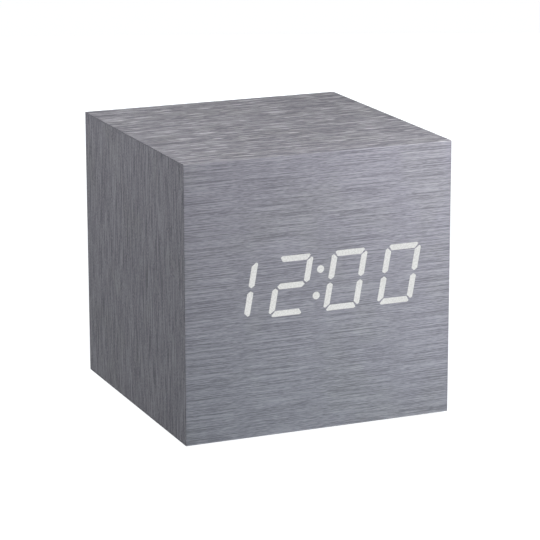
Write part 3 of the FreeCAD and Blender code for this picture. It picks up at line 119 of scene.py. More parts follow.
# Lamps: name, place, point aimed at, width and height, and whether it shows in reflections
LAMPS = (
    ("right", (0.112, -0.150, 0.118), (0.0, -0.034, 0.040), (0.11, 0.11), False),
    ("top", (0.05, -0.05, 0.55), (0.0, 0.0, 0.05), (0.6, 0.6), True),
    ("left", (-0.135, 0.020, 0.162), (-0.034, 0.0, 0.045), (0.13, 0.13), True),
    ("back", (0.18, 0.50, 0.09), (0.0, 0.034, 0.034), (0.4, 0.14), False),
    ("under", (0.0, 0.0, -0.35), (0.0, 0.0, 0.0), (0.05, 0.05), False),
    ("low", (0.0, -0.088, 0.004), (0.0, -0.034, 0.006), (0.10, 0.01), False),
)

FLOOR_REACH = 3.0
FLOOR_GLOW = 0.97

FLOAT = "NodeSocketFloat"
VECTOR = "NodeSocketVector"


# Properties that a user would change

def colour_property(name, description, default):
    return FloatVectorProperty(
        name=name, description=description, default=default, size=3, min=0.0, max=1.0, subtype="COLOR"
    )


def length_property(name, description, default):
    return FloatProperty(
        name=name, description=description, default=default, min=0.0, unit="LENGTH", precision=5
    )


def share_property(name, description, default):
    return FloatProperty(
        name=name, description=description, default=default, min=0.0, max=1.0, subtype="FACTOR"
    )


def power_property(name, description, default):
    return FloatProperty(
        name=name, description=description, default=default, min=0.0, unit="POWER", precision=4
    )


class ClockFilmSettings(PropertyGroup):
    """Brushed film that wraps the case"""

    colour: colour_property("Film Colour", "Colour of the brushed film", (0.368, 0.358, 0.408))
    dark_colour: colour_property("Line Colour", "Colour deep in the brush lines", (0.203, 0.197, 0.231))
    # Pale colour of the flecks, also of the painted glints on the top and of the painted highlight along the
    # folds
    fleck_and_highlight_colour: colour_property("Fleck Colour", "Colour of the bright flecks", (0.70, 0.69, 0.74))
    cloud_tint: colour_property("Cloud Tint", "Tint of the slow warm patches", (0.975, 0.99, 0.93))
    line_length: length_property("Line Length", "Length of a line on the front and the top", 0.0200)
    side_line_length: length_property("Side Line Length", "Length of a line on the sides", 0.0080)
    front_line_width: length_property("Front Line Width", "Width of a line on the front", 0.00014)
    top_line_width: length_property("Top Line Width", "Width of a line on the top", 0.00050)
    side_line_width: length_property("Side Line Width", "Width of a line on the sides", 0.00026)
    side_contrast: share_property("Side Contrast", "How sharply the side lines part dark from pale", 0.31)
    # On faces that point up the flecks are at full strength instead, as painted glints
    fleck_share: share_property("Fleck Share", "Strength of the flecks on all faces but the top", 0.20)
    # Painted highlight along the folds
    fold_highlight_share: share_property("Fold Shine", "How pale the film is along its folds", 0.13)
    roughness: share_property("Roughness", "Roughness of the film", 0.50)
    metallic: share_property("Metallic", "How metallic the film looks", 0.05)


class ClockDisplaySettings(PropertyGroup):
    """Lit digits and what lies behind them"""

    lit_colour: colour_property("Lit Colour", "Colour of a lit segment", (0.82, 0.82, 0.81))
    glow: FloatProperty(name="Glow", description="Strength of a lit segment", default=0.83, min=0.0)
    mottle_size: length_property("Mottle Size", "Size of the faint mottle in a segment", 0.0004)


class ClockPlasticSettings(PropertyGroup):
    """Moulded plastic, rubber and printed marks at the back and base"""

    panel_colour: colour_property("Panel Colour", "Moulded plastic of the rear panel", (0.022, 0.022, 0.024))
    button_colour: colour_property("Button Colour", "Moulded plastic of the buttons", (0.045, 0.045, 0.048))
    rubber_colour: colour_property("Rubber Colour", "Rubber of the feet", (0.030, 0.030, 0.031))
    mark_colour: colour_property("Mark Colour", "Ink of the printed marks", (0.62, 0.62, 0.62))
    spark_size: length_property("Texture Size", "Size of the moulded surface texture", 0.00022)
    mark_height: length_property("Mark Height", "Height of the printed letters", 0.0016)


class ClockPartsSettings(PropertyGroup):
    """Boards, cells and electronics inside"""

    board_colour: colour_property("Fibreboard Colour", "Raw fibreboard of the case", (0.36, 0.24, 0.135))
    mask_colour: colour_property("Circuit Colour", "Solder mask of the circuit boards", (0.012, 0.11, 0.045))
    sleeve_colour: colour_property("Cell Colour", "Sleeve of the battery cells", (0.035, 0.050, 0.085))
    band_colour: colour_property("Band Colour", "Band at the positive end of a cell", (0.55, 0.26, 0.10))
    band_length: length_property("Band Length", "Length of the band on a cell", 0.0125)


class ClockStageSettings(PropertyGroup):
    """Camera, lamps and floor"""

    camera_place: FloatVectorProperty(
        name="Camera Place", description="Where the camera stands", size=3, subtype="TRANSLATION",
        default=(-0.23950, -0.56783, 0.19283),
    )
    camera_aim: FloatVectorProperty(
        name="Camera Aim", description="Point the camera looks at", size=3, subtype="TRANSLATION",
        default=(0.00118, -0.00123, 0.03185),
    )
    camera_roll: FloatProperty(
        name="Camera Roll", description="Turn about the view line", subtype="ANGLE",
        default=math.radians(-0.115),
    )
    lens: FloatProperty(
        name="Lens", description="Focal length in millimetres", default=171.98, min=1.0, unit="CAMERA"
    )
    right_power: power_property("Key Lamp", "Power of the lamp at the right", 0.450)
    top_power: power_property("Top Lamp", "Power of the lamp overhead", 0.01)
    left_power: power_property("Left Lamp", "Power of the lamp at the left", 0.105)
    back_power: power_property("Back Lamp", "Power of the lamp behind", 2.2)
    under_power: power_property("Base Lamp", "Power of the lamp under the base", 1.0)
    low_power: power_property("Cool Lamp", "Power of the cool lamp low in front", 0.0030)
    low_tint: colour_property("Cool Lamp Tint", "Colour of the cool lamp low in front", (0.35, 1.0, 0.85))
    sky_level: FloatProperty(
        name="Sky Level", description="Level of the soft light all round", default=0.035, min=0.0
    )
    floor_colour: colour_property("Floor Colour", "Tone the floor throws on the clock", (0.19, 0.225, 0.245))


SETTINGS = {
    "clock_film": ClockFilmSettings,
    "clock_display": ClockDisplaySettings,
    "clock_plastic": ClockPlasticSettings,
    "clock_parts": ClockPartsSettings,
    "clock_stage": ClockStageSettings,
}


# Small helpers for node trees

class Tree:
    """Adds nodes to a node tree, each with its inputs set or linked."""

    def __init__(self, tree):
        self.tree = tree

    def add(self, kind, inputs=None, **settings):
        node = self.tree.nodes.new(kind)
        for key, value in settings.items():
            setattr(node, key, value)
        for key, value in (inputs or {}).items():
            self.feed(node.inputs[key], value)
        return node

    def feed(self, socket, value):
        if isinstance(value, bpy.types.NodeSocket):
            self.tree.links.new(value, socket)
        elif hasattr(value, "__len__") and socket.type == "RGBA" and len(value) == 3:
            socket.default_value = (*value, 1.0)
        else:
            socket.default_value = value

    def math(self, operation, first, second=0.0):
        node = self.add("ShaderNodeMath", operation=operation)
        self.feed(node.inputs[0], first)
        self.feed(node.inputs[1], second)
        return node.outputs[0]

    def vector(self, operation, first, second=(0.0, 0.0, 0.0)):
        node = self.add("ShaderNodeVectorMath", operation=operation)
        self.feed(node.inputs[0], first)
        self.feed(node.inputs[1], second)
        return node.outputs[0]

    def scaled(self, vector, scale):
        node = self.add("ShaderNodeVectorMath", {"Vector": vector, "Scale": scale}, operation="SCALE")
        return node.outputs[0]

    def noise(self, vector, scale, detail, rough=0.5):
        inputs = {"Vector": vector, "Scale": scale, "Detail": detail, "Roughness": rough}
        return self.add("ShaderNodeTexNoise", inputs, noise_dimensions="3D").outputs[0]

    def voronoi(self, vector, scale, randomness=1.0):
        inputs = {"Vector": vector, "Scale": scale, "Randomness": randomness}
        return self.add("ShaderNodeTexVoronoi", inputs, voronoi_dimensions="2D").outputs["Distance"]

    def ramp(self, value, low, high, start=0.0, end=1.0):
        """Value taken from the span low to high and spread over start to end."""
        inputs = {"Value": value, "From Min": low, "From Max": high, "To Min": start, "To Max": end}
        node = self.add("ShaderNodeMapRange", inputs, interpolation_type="SMOOTHSTEP", clamp=True)
        return node.outputs[0]

    def mix(self, share, first, second, blend="MIX"):
        node = self.add("ShaderNodeMix", data_type="RGBA", blend_type=blend)
        self.feed(node.inputs["Factor"], share)
        self.feed(node.inputs["A"], first)
        self.feed(node.inputs["B"], second)
        return node.outputs["Result"]

    def group(self, name, **inputs):
        """Places a node group and returns its outputs. A key such as line_size feeds the input Line Size."""
        node = self.tree.nodes.new("ShaderNodeGroup")
        node.node_tree = bpy.data.node_groups[name]
        for key, value in inputs.items():
            self.feed(node.inputs[key.replace("_", " ").title()], value)
        return node.outputs

    def brush(self, size, order="XYZ"):
        """Brush lines, where the first letter of the order is the axis that they run along."""
        split = self.split(self.position())
        turned = self.add("ShaderNodeCombineXYZ")
        for socket, letter in zip(turned.inputs, order):
            self.feed(socket, split["XYZ".index(letter)])
        return self.group("Brush Lines", place=turned.outputs[0], line_size=size)

    def split(self, vector):
        return self.add("ShaderNodeSeparateXYZ", {"Vector": vector}).outputs

    def bump(self, height, distance, strength=1.0):
        node = self.add("ShaderNodeBump", {"Height": height, "Distance": distance, "Strength": strength})
        return node.outputs["Normal"]

    def position(self):
        return self.add("ShaderNodeTexCoord").outputs["Object"]


def new_group(name, inputs, outputs):
    """Shader node group with named sockets. Returns its tree, its input node and its output node."""
    group = bpy.data.node_groups.new(name, "ShaderNodeTree")
    for label, kind, default in inputs:
        socket = group.interface.new_socket(name=label, in_out="INPUT", socket_type=kind)
        socket.default_value = default
    for label, kind in outputs:
        group.interface.new_socket(name=label, in_out="OUTPUT", socket_type=kind)
    entry = group.nodes.new("NodeGroupInput")
    leave = group.nodes.new("NodeGroupOutput")
    return Tree(group), entry.outputs, leave.inputs


# Surface effects that the finishes share

def build_brush_group():
    """Lines along the first axis of the place, long and short, with bright flecks and a soft cloud."""
    tree, given, result = new_group(
        "Brush Lines",
        [("Place", VECTOR, (0.0, 0.0, 0.0)), ("Line Size", VECTOR, (0.007, 0.0003, 0.0003))],
        [("Lines", FLOAT), ("Flecks", FLOAT), ("Cloud", FLOAT), ("Height", FLOAT)],
    )
    place = given["Place"]
    slow = tree.add("ShaderNodeTexNoise", {"Vector": place, "Scale": SWAY_SCALE, "Detail": 1.0})
    sway = tree.vector("SUBTRACT", slow.outputs["Color"], (0.5, 0.5, 0.5))
    sway = tree.vector("MULTIPLY", sway, LINE_SWAY)
    lined = tree.vector("DIVIDE", tree.vector("ADD", place, sway), given["Line Size"])
    long_lines = tree.noise(lined, 1.0, 1.0)
    short_lines = tree.noise(tree.vector("MULTIPLY", lined, SHORT_LINE_SHARES), 1.0, 1.0)
    lines = tree.math(
        "ADD",
        tree.math("MULTIPLY", long_lines, LONG_LINE_WEIGHT),
        tree.math("MULTIPLY", short_lines, SHORT_LINE_WEIGHT),
    )
    fleck = tree.noise(tree.vector("MULTIPLY", lined, FLECK_SHARES), 1.0, 1.0, 0.4)
    tree.feed(result["Lines"], tree.ramp(lines, *LINE_SPAN))
    tree.feed(result["Flecks"], tree.ramp(fleck, *FLECK_SPAN))
    tree.feed(result["Cloud"], tree.noise(place, 75.0, 2.0))
    tree.feed(result["Height"], tree.math("ADD", lines, tree.math("MULTIPLY", fleck, 0.35)))


def build_border_group():
    """Distances from the folded edges, from the left and right ends, and from the rim of a side."""
    tree, given, result = new_group(
        "Case Border",
        [("Centre", VECTOR, tuple(CASE_CENTRE)), ("Half Size", VECTOR, tuple(CASE_HALF))],
        [("Fold", FLOAT), ("Cut", FLOAT), ("Side", FLOAT)],
    )
    reach = tree.vector("ABSOLUTE", tree.vector("SUBTRACT", tree.position(), given["Centre"]))
    x, y, z = tree.split(tree.vector("SUBTRACT", given["Half Size"], reach))
    tree.feed(result["Fold"], tree.math("ADD", y, z))
    tree.feed(result["Cut"], x)
    tree.feed(result["Side"], tree.math("MINIMUM", y, z))


def build_speckle_group():
    """Fine moulded texture with faint rubbed patches."""
    tree, given, result = new_group(
        "Moulded Texture",
        [("Size", FLOAT, 0.0002)],
        [("Speckle", FLOAT), ("Patches", FLOAT), ("Height", FLOAT)],
    )
    fine = tree.noise(tree.position(), tree.math("DIVIDE", 1.0, given["Size"]), 2.0)
    slow = tree.noise(tree.position(), 130.0, 3.0, 0.6)
    tree.feed(result["Speckle"], tree.ramp(fine, 0.3, 0.7))
    tree.feed(result["Patches"], tree.ramp(slow, 0.35, 0.7))
    tree.feed(result["Height"], fine)


def build_dust_group():
    """Thin dust that gathers in soft patches, for the parts inside and below."""
    tree, given, result = new_group("Dust", [("Amount", FLOAT, 0.2)], [("Mask", FLOAT)])
    grain = tree.noise(tree.position(), 5200.0, 2.0, 0.6)
    patch = tree.noise(tree.position(), 95.0, 2.0)
    mask = tree.math("MULTIPLY", tree.ramp(grain, 0.48, 0.72), tree.ramp(patch, 0.35, 0.65))
    tree.feed(result["Mask"], tree.math("MULTIPLY", mask, given["Amount"]))


def build_circuit_group():
    """Tracks under the solder mask, round pads and legend strokes, on boards that face front or back."""
    tree, given, result = new_group(
        "Circuit Pattern",
        [("Track Pitch", FLOAT, 0.0009)],
        [("Tracks", FLOAT), ("Pads", FLOAT), ("Legend", FLOAT), ("Height", FLOAT)],
    )
    place = tree.split(tree.position())
    flat = tree.add("ShaderNodeCombineXYZ", {"X": place[0], "Y": place[2]}).outputs[0]
    spread = tree.scaled(flat, tree.math("DIVIDE", 1.0, given["Track Pitch"]))
    lanes = tree.add("ShaderNodeTexBrick", {"Vector": spread, "Scale": 1.0})
    brick = {"Brick Width": 7.0, "Row Height": 0.9, "Mortar Size": 0.13, "Mortar Smooth": 0.1}
    for key, value in brick.items():
        tree.feed(lanes.inputs[key], value)
    area = tree.noise(tree.vector("MULTIPLY", flat, (170.0, 170.0, 170.0)), 1.0, 0.0)
    tracks = tree.math("MULTIPLY", lanes.outputs["Fac"], tree.ramp(area, 0.46, 0.50))
    pads = tree.ramp(tree.voronoi(spread, 0.36, 0.55), 0.20, 0.17)
    pads = tree.math("MULTIPLY", pads, tree.ramp(area, 0.50, 0.54))
    marks = tree.voronoi(spread, 0.21)
    legend = tree.math("SUBTRACT", tree.ramp(marks, 0.33, 0.31), tree.ramp(marks, 0.29, 0.27))
    tree.feed(result["Tracks"], tracks)
    tree.feed(result["Pads"], pads)
    tree.feed(result["Legend"], tree.math("MULTIPLY", legend, tree.ramp(area, 0.44, 0.40)))
    tree.feed(result["Height"], tree.math("ADD", tracks, pads))


def new_material(name, **shader):
    """Material with a Principled shader. Returns the material, its tree and the shader."""
    material = bpy.data.materials.new(name)
    material.use_nodes = True
    principled = material.node_tree.nodes["Principled BSDF"]
    for key, value in shader.items():
        principled.inputs[key.replace("_", " ")].default_value = value
    return material, Tree(material.node_tree), principled


def dress(material, *nodes):
    """Gives a finish to parts of the frame."""
    for node in nodes:
        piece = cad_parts[node]
        slots = piece.data.materials
        if len(slots) == 0:
            slots.append(material)
        for index in range(len(slots)):
            slots[index] = material


def shaded(colour, factor):
    """The colour made darker by a factor, or paler up to white."""
    return [min(1.0, channel * factor) for channel in colour]


# Finishes

def brushed_film(name, order, line_size, edge_name, contrast):
    """Grey film with brush lines along one axis and grain flecks, full where it faces up as painted glints, a
    painted highlight along its folds and another tone at its cut edges.
    """
    look = bpy.context.scene.clock_film
    material, tree, shader = new_material(
        name, Roughness=look.roughness, Metallic=look.metallic, Specular_IOR_Level=0.14
    )
    brush = tree.brush(line_size, order)
    border = tree.group("Case Border")
    ground = tree.mix(tree.ramp(brush["Lines"], contrast, 1.0 - contrast), look.dark_colour, look.colour)
    # Flecks at full strength where the film faces up are painted glints on the top; the fleck share elsewhere
    # is the grain itself
    upward = tree.split(tree.add("ShaderNodeNewGeometry").outputs["Normal"])[2]
    flecks = tree.math("MULTIPLY", brush["Flecks"], tree.ramp(upward, 0.4, 0.6, look.fleck_share, 1.0))
    ground = tree.mix(flecks, ground, look.fleck_and_highlight_colour)
    cloud = tree.ramp(brush["Cloud"], 0.48, 0.66, 0.0, 0.4)
    ground = tree.mix(cloud, ground, tree.mix(1.0, ground, look.cloud_tint, "MULTIPLY"))
    # Paler along the folded edges: a painted highlight where the folds catch the light
    fold_highlight = tree.math("MULTIPLY", tree.ramp(border["Fold"], *EDGE_BAND), look.fold_highlight_share)
    ground = tree.mix(fold_highlight, ground, look.fleck_and_highlight_colour)
    edge = tree.math("MULTIPLY", tree.ramp(border[edge_name], *EDGE_BAND), EDGE_DARKENING)
    ground = tree.mix(edge, ground, look.dark_colour)
    tree.feed(shader.inputs["Base Color"], ground)
    sheen = tree.ramp(brush["Lines"], 0.0, 1.0, look.roughness + 0.10, look.roughness - 0.06)
    tree.feed(shader.inputs["Roughness"], sheen)
    tree.feed(shader.inputs["Normal"], tree.bump(brush["Height"], 0.00002, 0.4))
    return material


def lit_finish():
    """Lit segment: even off-white with a faint mottle."""
    look = bpy.context.scene.clock_display
    material, tree, shader = new_material("lit_segment", Roughness=0.6, Specular_IOR_Level=0.2)
    shader.inputs["Emission Strength"].default_value = look.glow
    mottle = tree.group("Moulded Texture", size=look.mottle_size)
    dim = shaded(look.lit_colour, 0.80)
    tree.feed(shader.inputs["Emission Color"], tree.mix(mottle["Speckle"], dim, look.lit_colour))
    ground = tree.mix(mottle["Patches"], (0.10, 0.10, 0.10), (0.13, 0.13, 0.13))
    tree.feed(shader.inputs["Base Color"], ground)
    return material


def moulded(name, colour, roughness, size=None, bump=0.000012, worn=0.05):
    """Moulded plastic or rubber with a fine spark texture, patches rubbed pale by wear, and dust."""
    look = bpy.context.scene.clock_plastic
    material, tree, shader = new_material(name, Roughness=roughness, Specular_IOR_Level=0.35)
    skin = tree.group("Moulded Texture", size=size or look.spark_size)
    dust = tree.group("Dust", amount=0.10)
    pale = [min(1.0, channel * 1.25 + worn * 0.06) for channel in colour]
    ground = tree.mix(skin["Speckle"], shaded(colour, 0.72), colour)
    ground = tree.mix(tree.math("MULTIPLY", skin["Patches"], 0.3), ground, pale)
    ground = tree.mix(dust["Mask"], ground, (0.20, 0.195, 0.19))
    tree.feed(shader.inputs["Base Color"], ground)
    rubbed = tree.ramp(skin["Patches"], 0.0, 1.0, roughness + 0.03, roughness - 0.04)
    tree.feed(shader.inputs["Roughness"], rubbed)
    tree.feed(shader.inputs["Normal"], tree.bump(skin["Height"], bump, 0.6))
    return material


def metal(name, colour, roughness, line_size=(0.0006, 0.0006, 0.0006), dull=0.25):
    """Bare or plated metal with fine drawn lines and dull patches."""
    material, tree, shader = new_material(name, Metallic=1.0, Roughness=roughness)
    brush = tree.brush(line_size)
    skin = tree.group("Moulded Texture", size=0.0003)
    dark = shaded(colour, 1.0 - dull)
    ground = tree.mix(brush["Lines"], dark, colour)
    ground = tree.mix(tree.math("MULTIPLY", skin["Patches"], 0.3), ground, dark)
    tree.feed(shader.inputs["Base Color"], ground)
    dulled = tree.ramp(skin["Patches"], 0.0, 1.0, roughness - 0.05, roughness + 0.12)
    tree.feed(shader.inputs["Roughness"], dulled)
    tree.feed(shader.inputs["Normal"], tree.bump(brush["Height"], 0.000006, 0.4))
    return material


def fibreboard():
    """Raw pressed fibre with pale specks and a crumbly grain."""
    look = bpy.context.scene.clock_parts
    material, tree, shader = new_material("mdf_board", Roughness=0.86, Specular_IOR_Level=0.2)
    fibre = tree.brush((0.0011, 0.0004, 0.0004))
    skin = tree.group("Moulded Texture", size=0.00025)
    ground = tree.mix(fibre["Lines"], shaded(look.board_colour, 0.62), look.board_colour)
    pale = shaded(look.board_colour, 1.35)
    ground = tree.mix(tree.math("MULTIPLY", skin["Speckle"], 0.35), ground, pale)
    tree.feed(shader.inputs["Base Color"], ground)
    tree.feed(shader.inputs["Normal"], tree.bump(skin["Height"], 0.00004, 0.8))
    return material


def circuit_board(name, colour, track_pitch):
    """Solder mask over copper tracks, with bare pads, white legend and dust."""
    material, tree, shader = new_material(name, Roughness=0.34, Coat_Weight=0.25, Coat_Roughness=0.2)
    pattern = tree.group("Circuit Pattern", track_pitch=track_pitch)
    dust = tree.group("Dust", amount=0.2)
    bright = [min(1.0, channel * 2.1 + 0.008) for channel in colour]
    ground = tree.mix(pattern["Tracks"], colour, bright)
    ground = tree.mix(pattern["Pads"], ground, (0.62, 0.60, 0.55))
    ground = tree.mix(pattern["Legend"], ground, (0.78, 0.78, 0.76))
    ground = tree.mix(dust["Mask"], ground, (0.35, 0.33, 0.30))
    tree.feed(shader.inputs["Base Color"], ground)
    tree.feed(shader.inputs["Metallic"], tree.math("MULTIPLY", pattern["Pads"], 0.9))
    tree.feed(shader.inputs["Normal"], tree.bump(pattern["Height"], 0.00003, 0.6))
    return material


def two_tone(name, node, axis, first, second):
    """Sleeves of a pair of wires that differ in colour, split at the middle of the node along an axis."""
    material, tree, shader = new_material(name, Roughness=0.4)
    low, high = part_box(node)
    index = "xyz".index(axis)
    middle = (low[index] + high[index]) / 2
    place = tree.split(tree.position())[index]
    skin = tree.group("Moulded Texture", size=0.0004)
    side = tree.ramp(place, middle - WIRE_BLUR, middle + WIRE_BLUR)
    ground = tree.mix(side, first, second)
    ground = tree.mix(tree.math("MULTIPLY", skin["Patches"], 0.25), ground, BLACK_SLEEVE)
    tree.feed(shader.inputs["Base Color"], ground)
    tree.feed(shader.inputs["Normal"], tree.bump(skin["Height"], 0.00001, 0.5))
    return material


def cell_sleeve():
    """Plain shrink sleeve with a band at the positive end, open at both ends over a steel can."""
    look = bpy.context.scene.clock_parts
    material, tree, shader = new_material("cell_sleeve", Roughness=0.3, Coat_Weight=0.35, Coat_Roughness=0.12)
    x, y, z = tree.split(tree.position())
    pitch = (CELLS_HIGH.y - CELLS_LOW.y + CELL_GAP) / CELL_ROWS
    first_row = CELLS_LOW.y - CELL_GAP / 2
    row = tree.math("FLOOR", tree.math("DIVIDE", tree.math("SUBTRACT", y, first_row), pitch))
    odd = tree.math("MODULO", row, 2.0)
    sign = tree.math("SUBTRACT", tree.math("MULTIPLY", odd, 2.0), 1.0)
    reach = tree.math("MULTIPLY", x, sign)
    band_start = CELLS_HIGH.x - CELL_NUB - look.band_length
    band = tree.ramp(reach, band_start, band_start + CELL_BAND_BLUR)
    axis_y = tree.math("ADD", tree.math("MULTIPLY", tree.math("ADD", row, 0.5), pitch), first_row)
    off_y = tree.math("SUBTRACT", y, axis_y)
    off_z = tree.math("SUBTRACT", z, (CELLS_LOW.z + CELLS_HIGH.z) / 2)
    squares = tree.math("ADD", tree.math("MULTIPLY", off_y, off_y), tree.math("MULTIPLY", off_z, off_z))
    radius = tree.math("SQRT", squares)
    bare = tree.ramp(radius, *CELL_BARE)
    skin = tree.group("Moulded Texture", size=0.0005)
    dust = tree.group("Dust", amount=0.15)
    ground = tree.mix(band, look.sleeve_colour, look.band_colour)
    ground = tree.mix(tree.math("MULTIPLY", skin["Patches"], 0.22), ground, (0.10, 0.10, 0.10))
    ground = tree.mix(bare, ground, (0.62, 0.61, 0.59))
    ground = tree.mix(dust["Mask"], ground, (0.4, 0.4, 0.38))
    tree.feed(shader.inputs["Base Color"], ground)
    tree.feed(shader.inputs["Metallic"], tree.ramp(radius, *CELL_BARE, 0.15, 1.0))
    tree.feed(shader.inputs["Normal"], tree.bump(skin["Height"], 0.000005, 0.3))
    return material


def paper_cone():
    """Black pressed paper with loose fibres."""
    material, tree, shader = new_material("paper_cone", Roughness=0.8)
    fibre = tree.brush((0.0014, 0.0004, 0.0005))
    skin = tree.group("Moulded Texture", size=0.0005)
    ground = tree.mix(fibre["Lines"], (0.018, 0.018, 0.019), (0.050, 0.050, 0.052))
    ground = tree.mix(tree.math("MULTIPLY", skin["Patches"], 0.2), ground, (0.09, 0.09, 0.09))
    tree.feed(shader.inputs["Base Color"], ground)
    tree.feed(shader.inputs["Normal"], tree.bump(fibre["Height"], 0.00005, 0.7))
    return material


def ribbon_finish():
    """Grey ribbon cable with ridges along its wires, painted shade in the grooves between them and a painted
    highlight on their crests, and one marked edge wire.
    """
    material, tree, shader = new_material("ribbon_sleeve", Roughness=0.42)
    x = tree.split(tree.position())[0]
    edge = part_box("ribbon_cable")[0][0]
    across = tree.math("DIVIDE", tree.math("SUBTRACT", x, edge), RIBBON_PITCH)
    ridge_and_painted_shading = tree.math("ABSOLUTE", tree.math("SINE", tree.math("MULTIPLY", across, math.pi)))
    marked = tree.ramp(x, edge + RIBBON_MARKED[0], edge + RIBBON_MARKED[1])
    skin = tree.group("Moulded Texture", size=0.0004)
    # Darker in the grooves between the wires and paler on their crests: painted shade and painted highlight
    ground = tree.mix(ridge_and_painted_shading, (0.16, 0.16, 0.17), (0.36, 0.36, 0.38))
    ground = tree.mix(marked, ground, (0.42, 0.04, 0.03))
    ground = tree.mix(tree.math("MULTIPLY", skin["Patches"], 0.2), ground, (0.12, 0.12, 0.12))
    tree.feed(shader.inputs["Base Color"], ground)
    tree.feed(shader.inputs["Normal"], tree.bump(ridge_and_painted_shading, 0.0003, 0.8))
    return material


# Printed marks

def printed_mark(name, words, height, x, z, material):
    """Flat printed letters on the rear panel, centred on x and z and read from behind."""
    text = bpy.data.curves.new(name, "FONT")
    text.body = words
    text.size = height
    text.align_x = "CENTER"
    text.align_y = "CENTER"
    text.extrude = MARK_THICKNESS
    text.resolution_u = 4
    carrier = bpy.data.objects.new(name, text)
    bpy.context.scene.collection.objects.link(carrier)
    bpy.context.view_layer.update()
    mesh = bpy.data.meshes.new_from_object(carrier.evaluated_get(bpy.context.evaluated_depsgraph_get()))
    bpy.data.objects.remove(carrier)
    bpy.data.curves.remove(text)
    mesh.transform(Matrix(((-1, 0, 0, x), (0, 0, 1, PANEL_BACK), (0, 1, 0, z), (0, 0, 0, 1))))
    mesh.name = name
    mesh.materials.clear()
    mesh.materials.append(material)
    piece = bpy.data.objects.new(name, mesh)
    bpy.context.scene.collection.objects.link(piece)
    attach(piece, "case")


# Pieces, one operator for each group of like pieces

class FinishOperator(Operator):
    """Shared base of the finishing steps"""

    bl_options = {"REGISTER", "UNDO"}


class CLOCK_OT_effects(FinishOperator):
    """Builds the surface effects that the finishes share"""

    bl_idname = "clock.effects"
    bl_label = "Surface Effects"

    def execute(self, context):
        build_brush_group()
        build_border_group()
        build_speckle_group()
        build_dust_group()
        build_circuit_group()
        return {"FINISHED"}


class CLOCK_OT_film(FinishOperator):
    """Brushed film over the front, top, back and base, and over both sides"""

    bl_idname = "clock.film"
    bl_label = "Brushed Film"

    def execute(self, context):
        look = context.scene.clock_film
        wrap_size = (look.line_length, look.top_line_width, look.front_line_width)
        side_size = (look.side_line_length, look.side_line_width, look.side_line_width)
        dress(brushed_film("film_wrap", "XYZ", wrap_size, "Cut", 0.0), "wrap_film")
        sides = brushed_film("film_sides", "ZYX", side_size, "Side", look.side_contrast)
        dress(sides, "left_film", "right_film")
        return {"FINISHED"}


class CLOCK_OT_display(FinishOperator):
    """Lit digits, the light guides behind them and the display circuit"""

    bl_idname = "clock.display"
    bl_label = "Display"

    def execute(self, context):
        parts = context.scene.clock_parts
        lit = lit_finish()
        dress(lit, "hour_tens_digit", "hour_units_digit", "minute_tens_digit", "minute_units_digit")
        dress(lit, "colon_dots")
        dress(moulded("light_guide", (0.62, 0.62, 0.60), 0.35, bump=0.000004), "segment_light_guides")
        dress(moulded("led_resin", (0.72, 0.66, 0.38), 0.3, bump=0.000004), "segment_leds")
        dress(moulded("display_mask_plastic", (0.02, 0.02, 0.021), 0.6), "display_mask")
        dress(circuit_board("display_board", parts.mask_colour, 0.0011), "display_circuit_board")
        return {"FINISHED"}


class CLOCK_OT_case(FinishOperator):
    """Fibreboard of the case and the rubber feet"""

    bl_idname = "clock.case"
    bl_label = "Case Boards and Feet"

    def execute(self, context):
        plastic = context.scene.clock_plastic
        board = fibreboard()
        dress(board, "front_board", "back_board", "bottom_board", "top_board", "left_board", "right_board")
        dress(moulded("rubber", plastic.rubber_colour, 0.72, bump=0.00002, worn=0.2), "rubber_feet")
        return {"FINISHED"}


class CLOCK_OT_rear(FinishOperator):
    """Rear panel with its buttons, slide switch, socket, microphone and screws"""

    bl_idname = "clock.rear"
    bl_label = "Rear Panel"

    def execute(self, context):
        plastic = context.scene.clock_plastic
        dress(moulded("panel_plastic", plastic.panel_colour, 0.55), "rear_panel")
        button = moulded("button_plastic", plastic.button_colour, 0.42, size=0.00035, worn=0.3)
        dress(button, "down_button", "set_button", "up_button", "voice_switch_knob")
        dress(moulded("switch_plastic", (0.035, 0.035, 0.037), 0.5), "button_switch_housings")
        steel = metal("plated_steel", PLATED_STEEL, 0.28)
        dress(steel, "power_socket_shell", "button_switch_domes", "voice_switch_housing")
        dress(moulded("connector_plastic", (0.03, 0.03, 0.03), 0.45), "power_socket_tongue", "ribbon_plugs")
        dress(metal("microphone_steel", (0.66, 0.66, 0.66), 0.38), "microphone_capsule")
        screw_steel = metal("screw_steel", (0.30, 0.30, 0.31), 0.34, (0.0005, 0.0005, 0.0005))
        dress(screw_steel, "rear_panel_screws", "pan_head_screws")
        return {"FINISHED"}


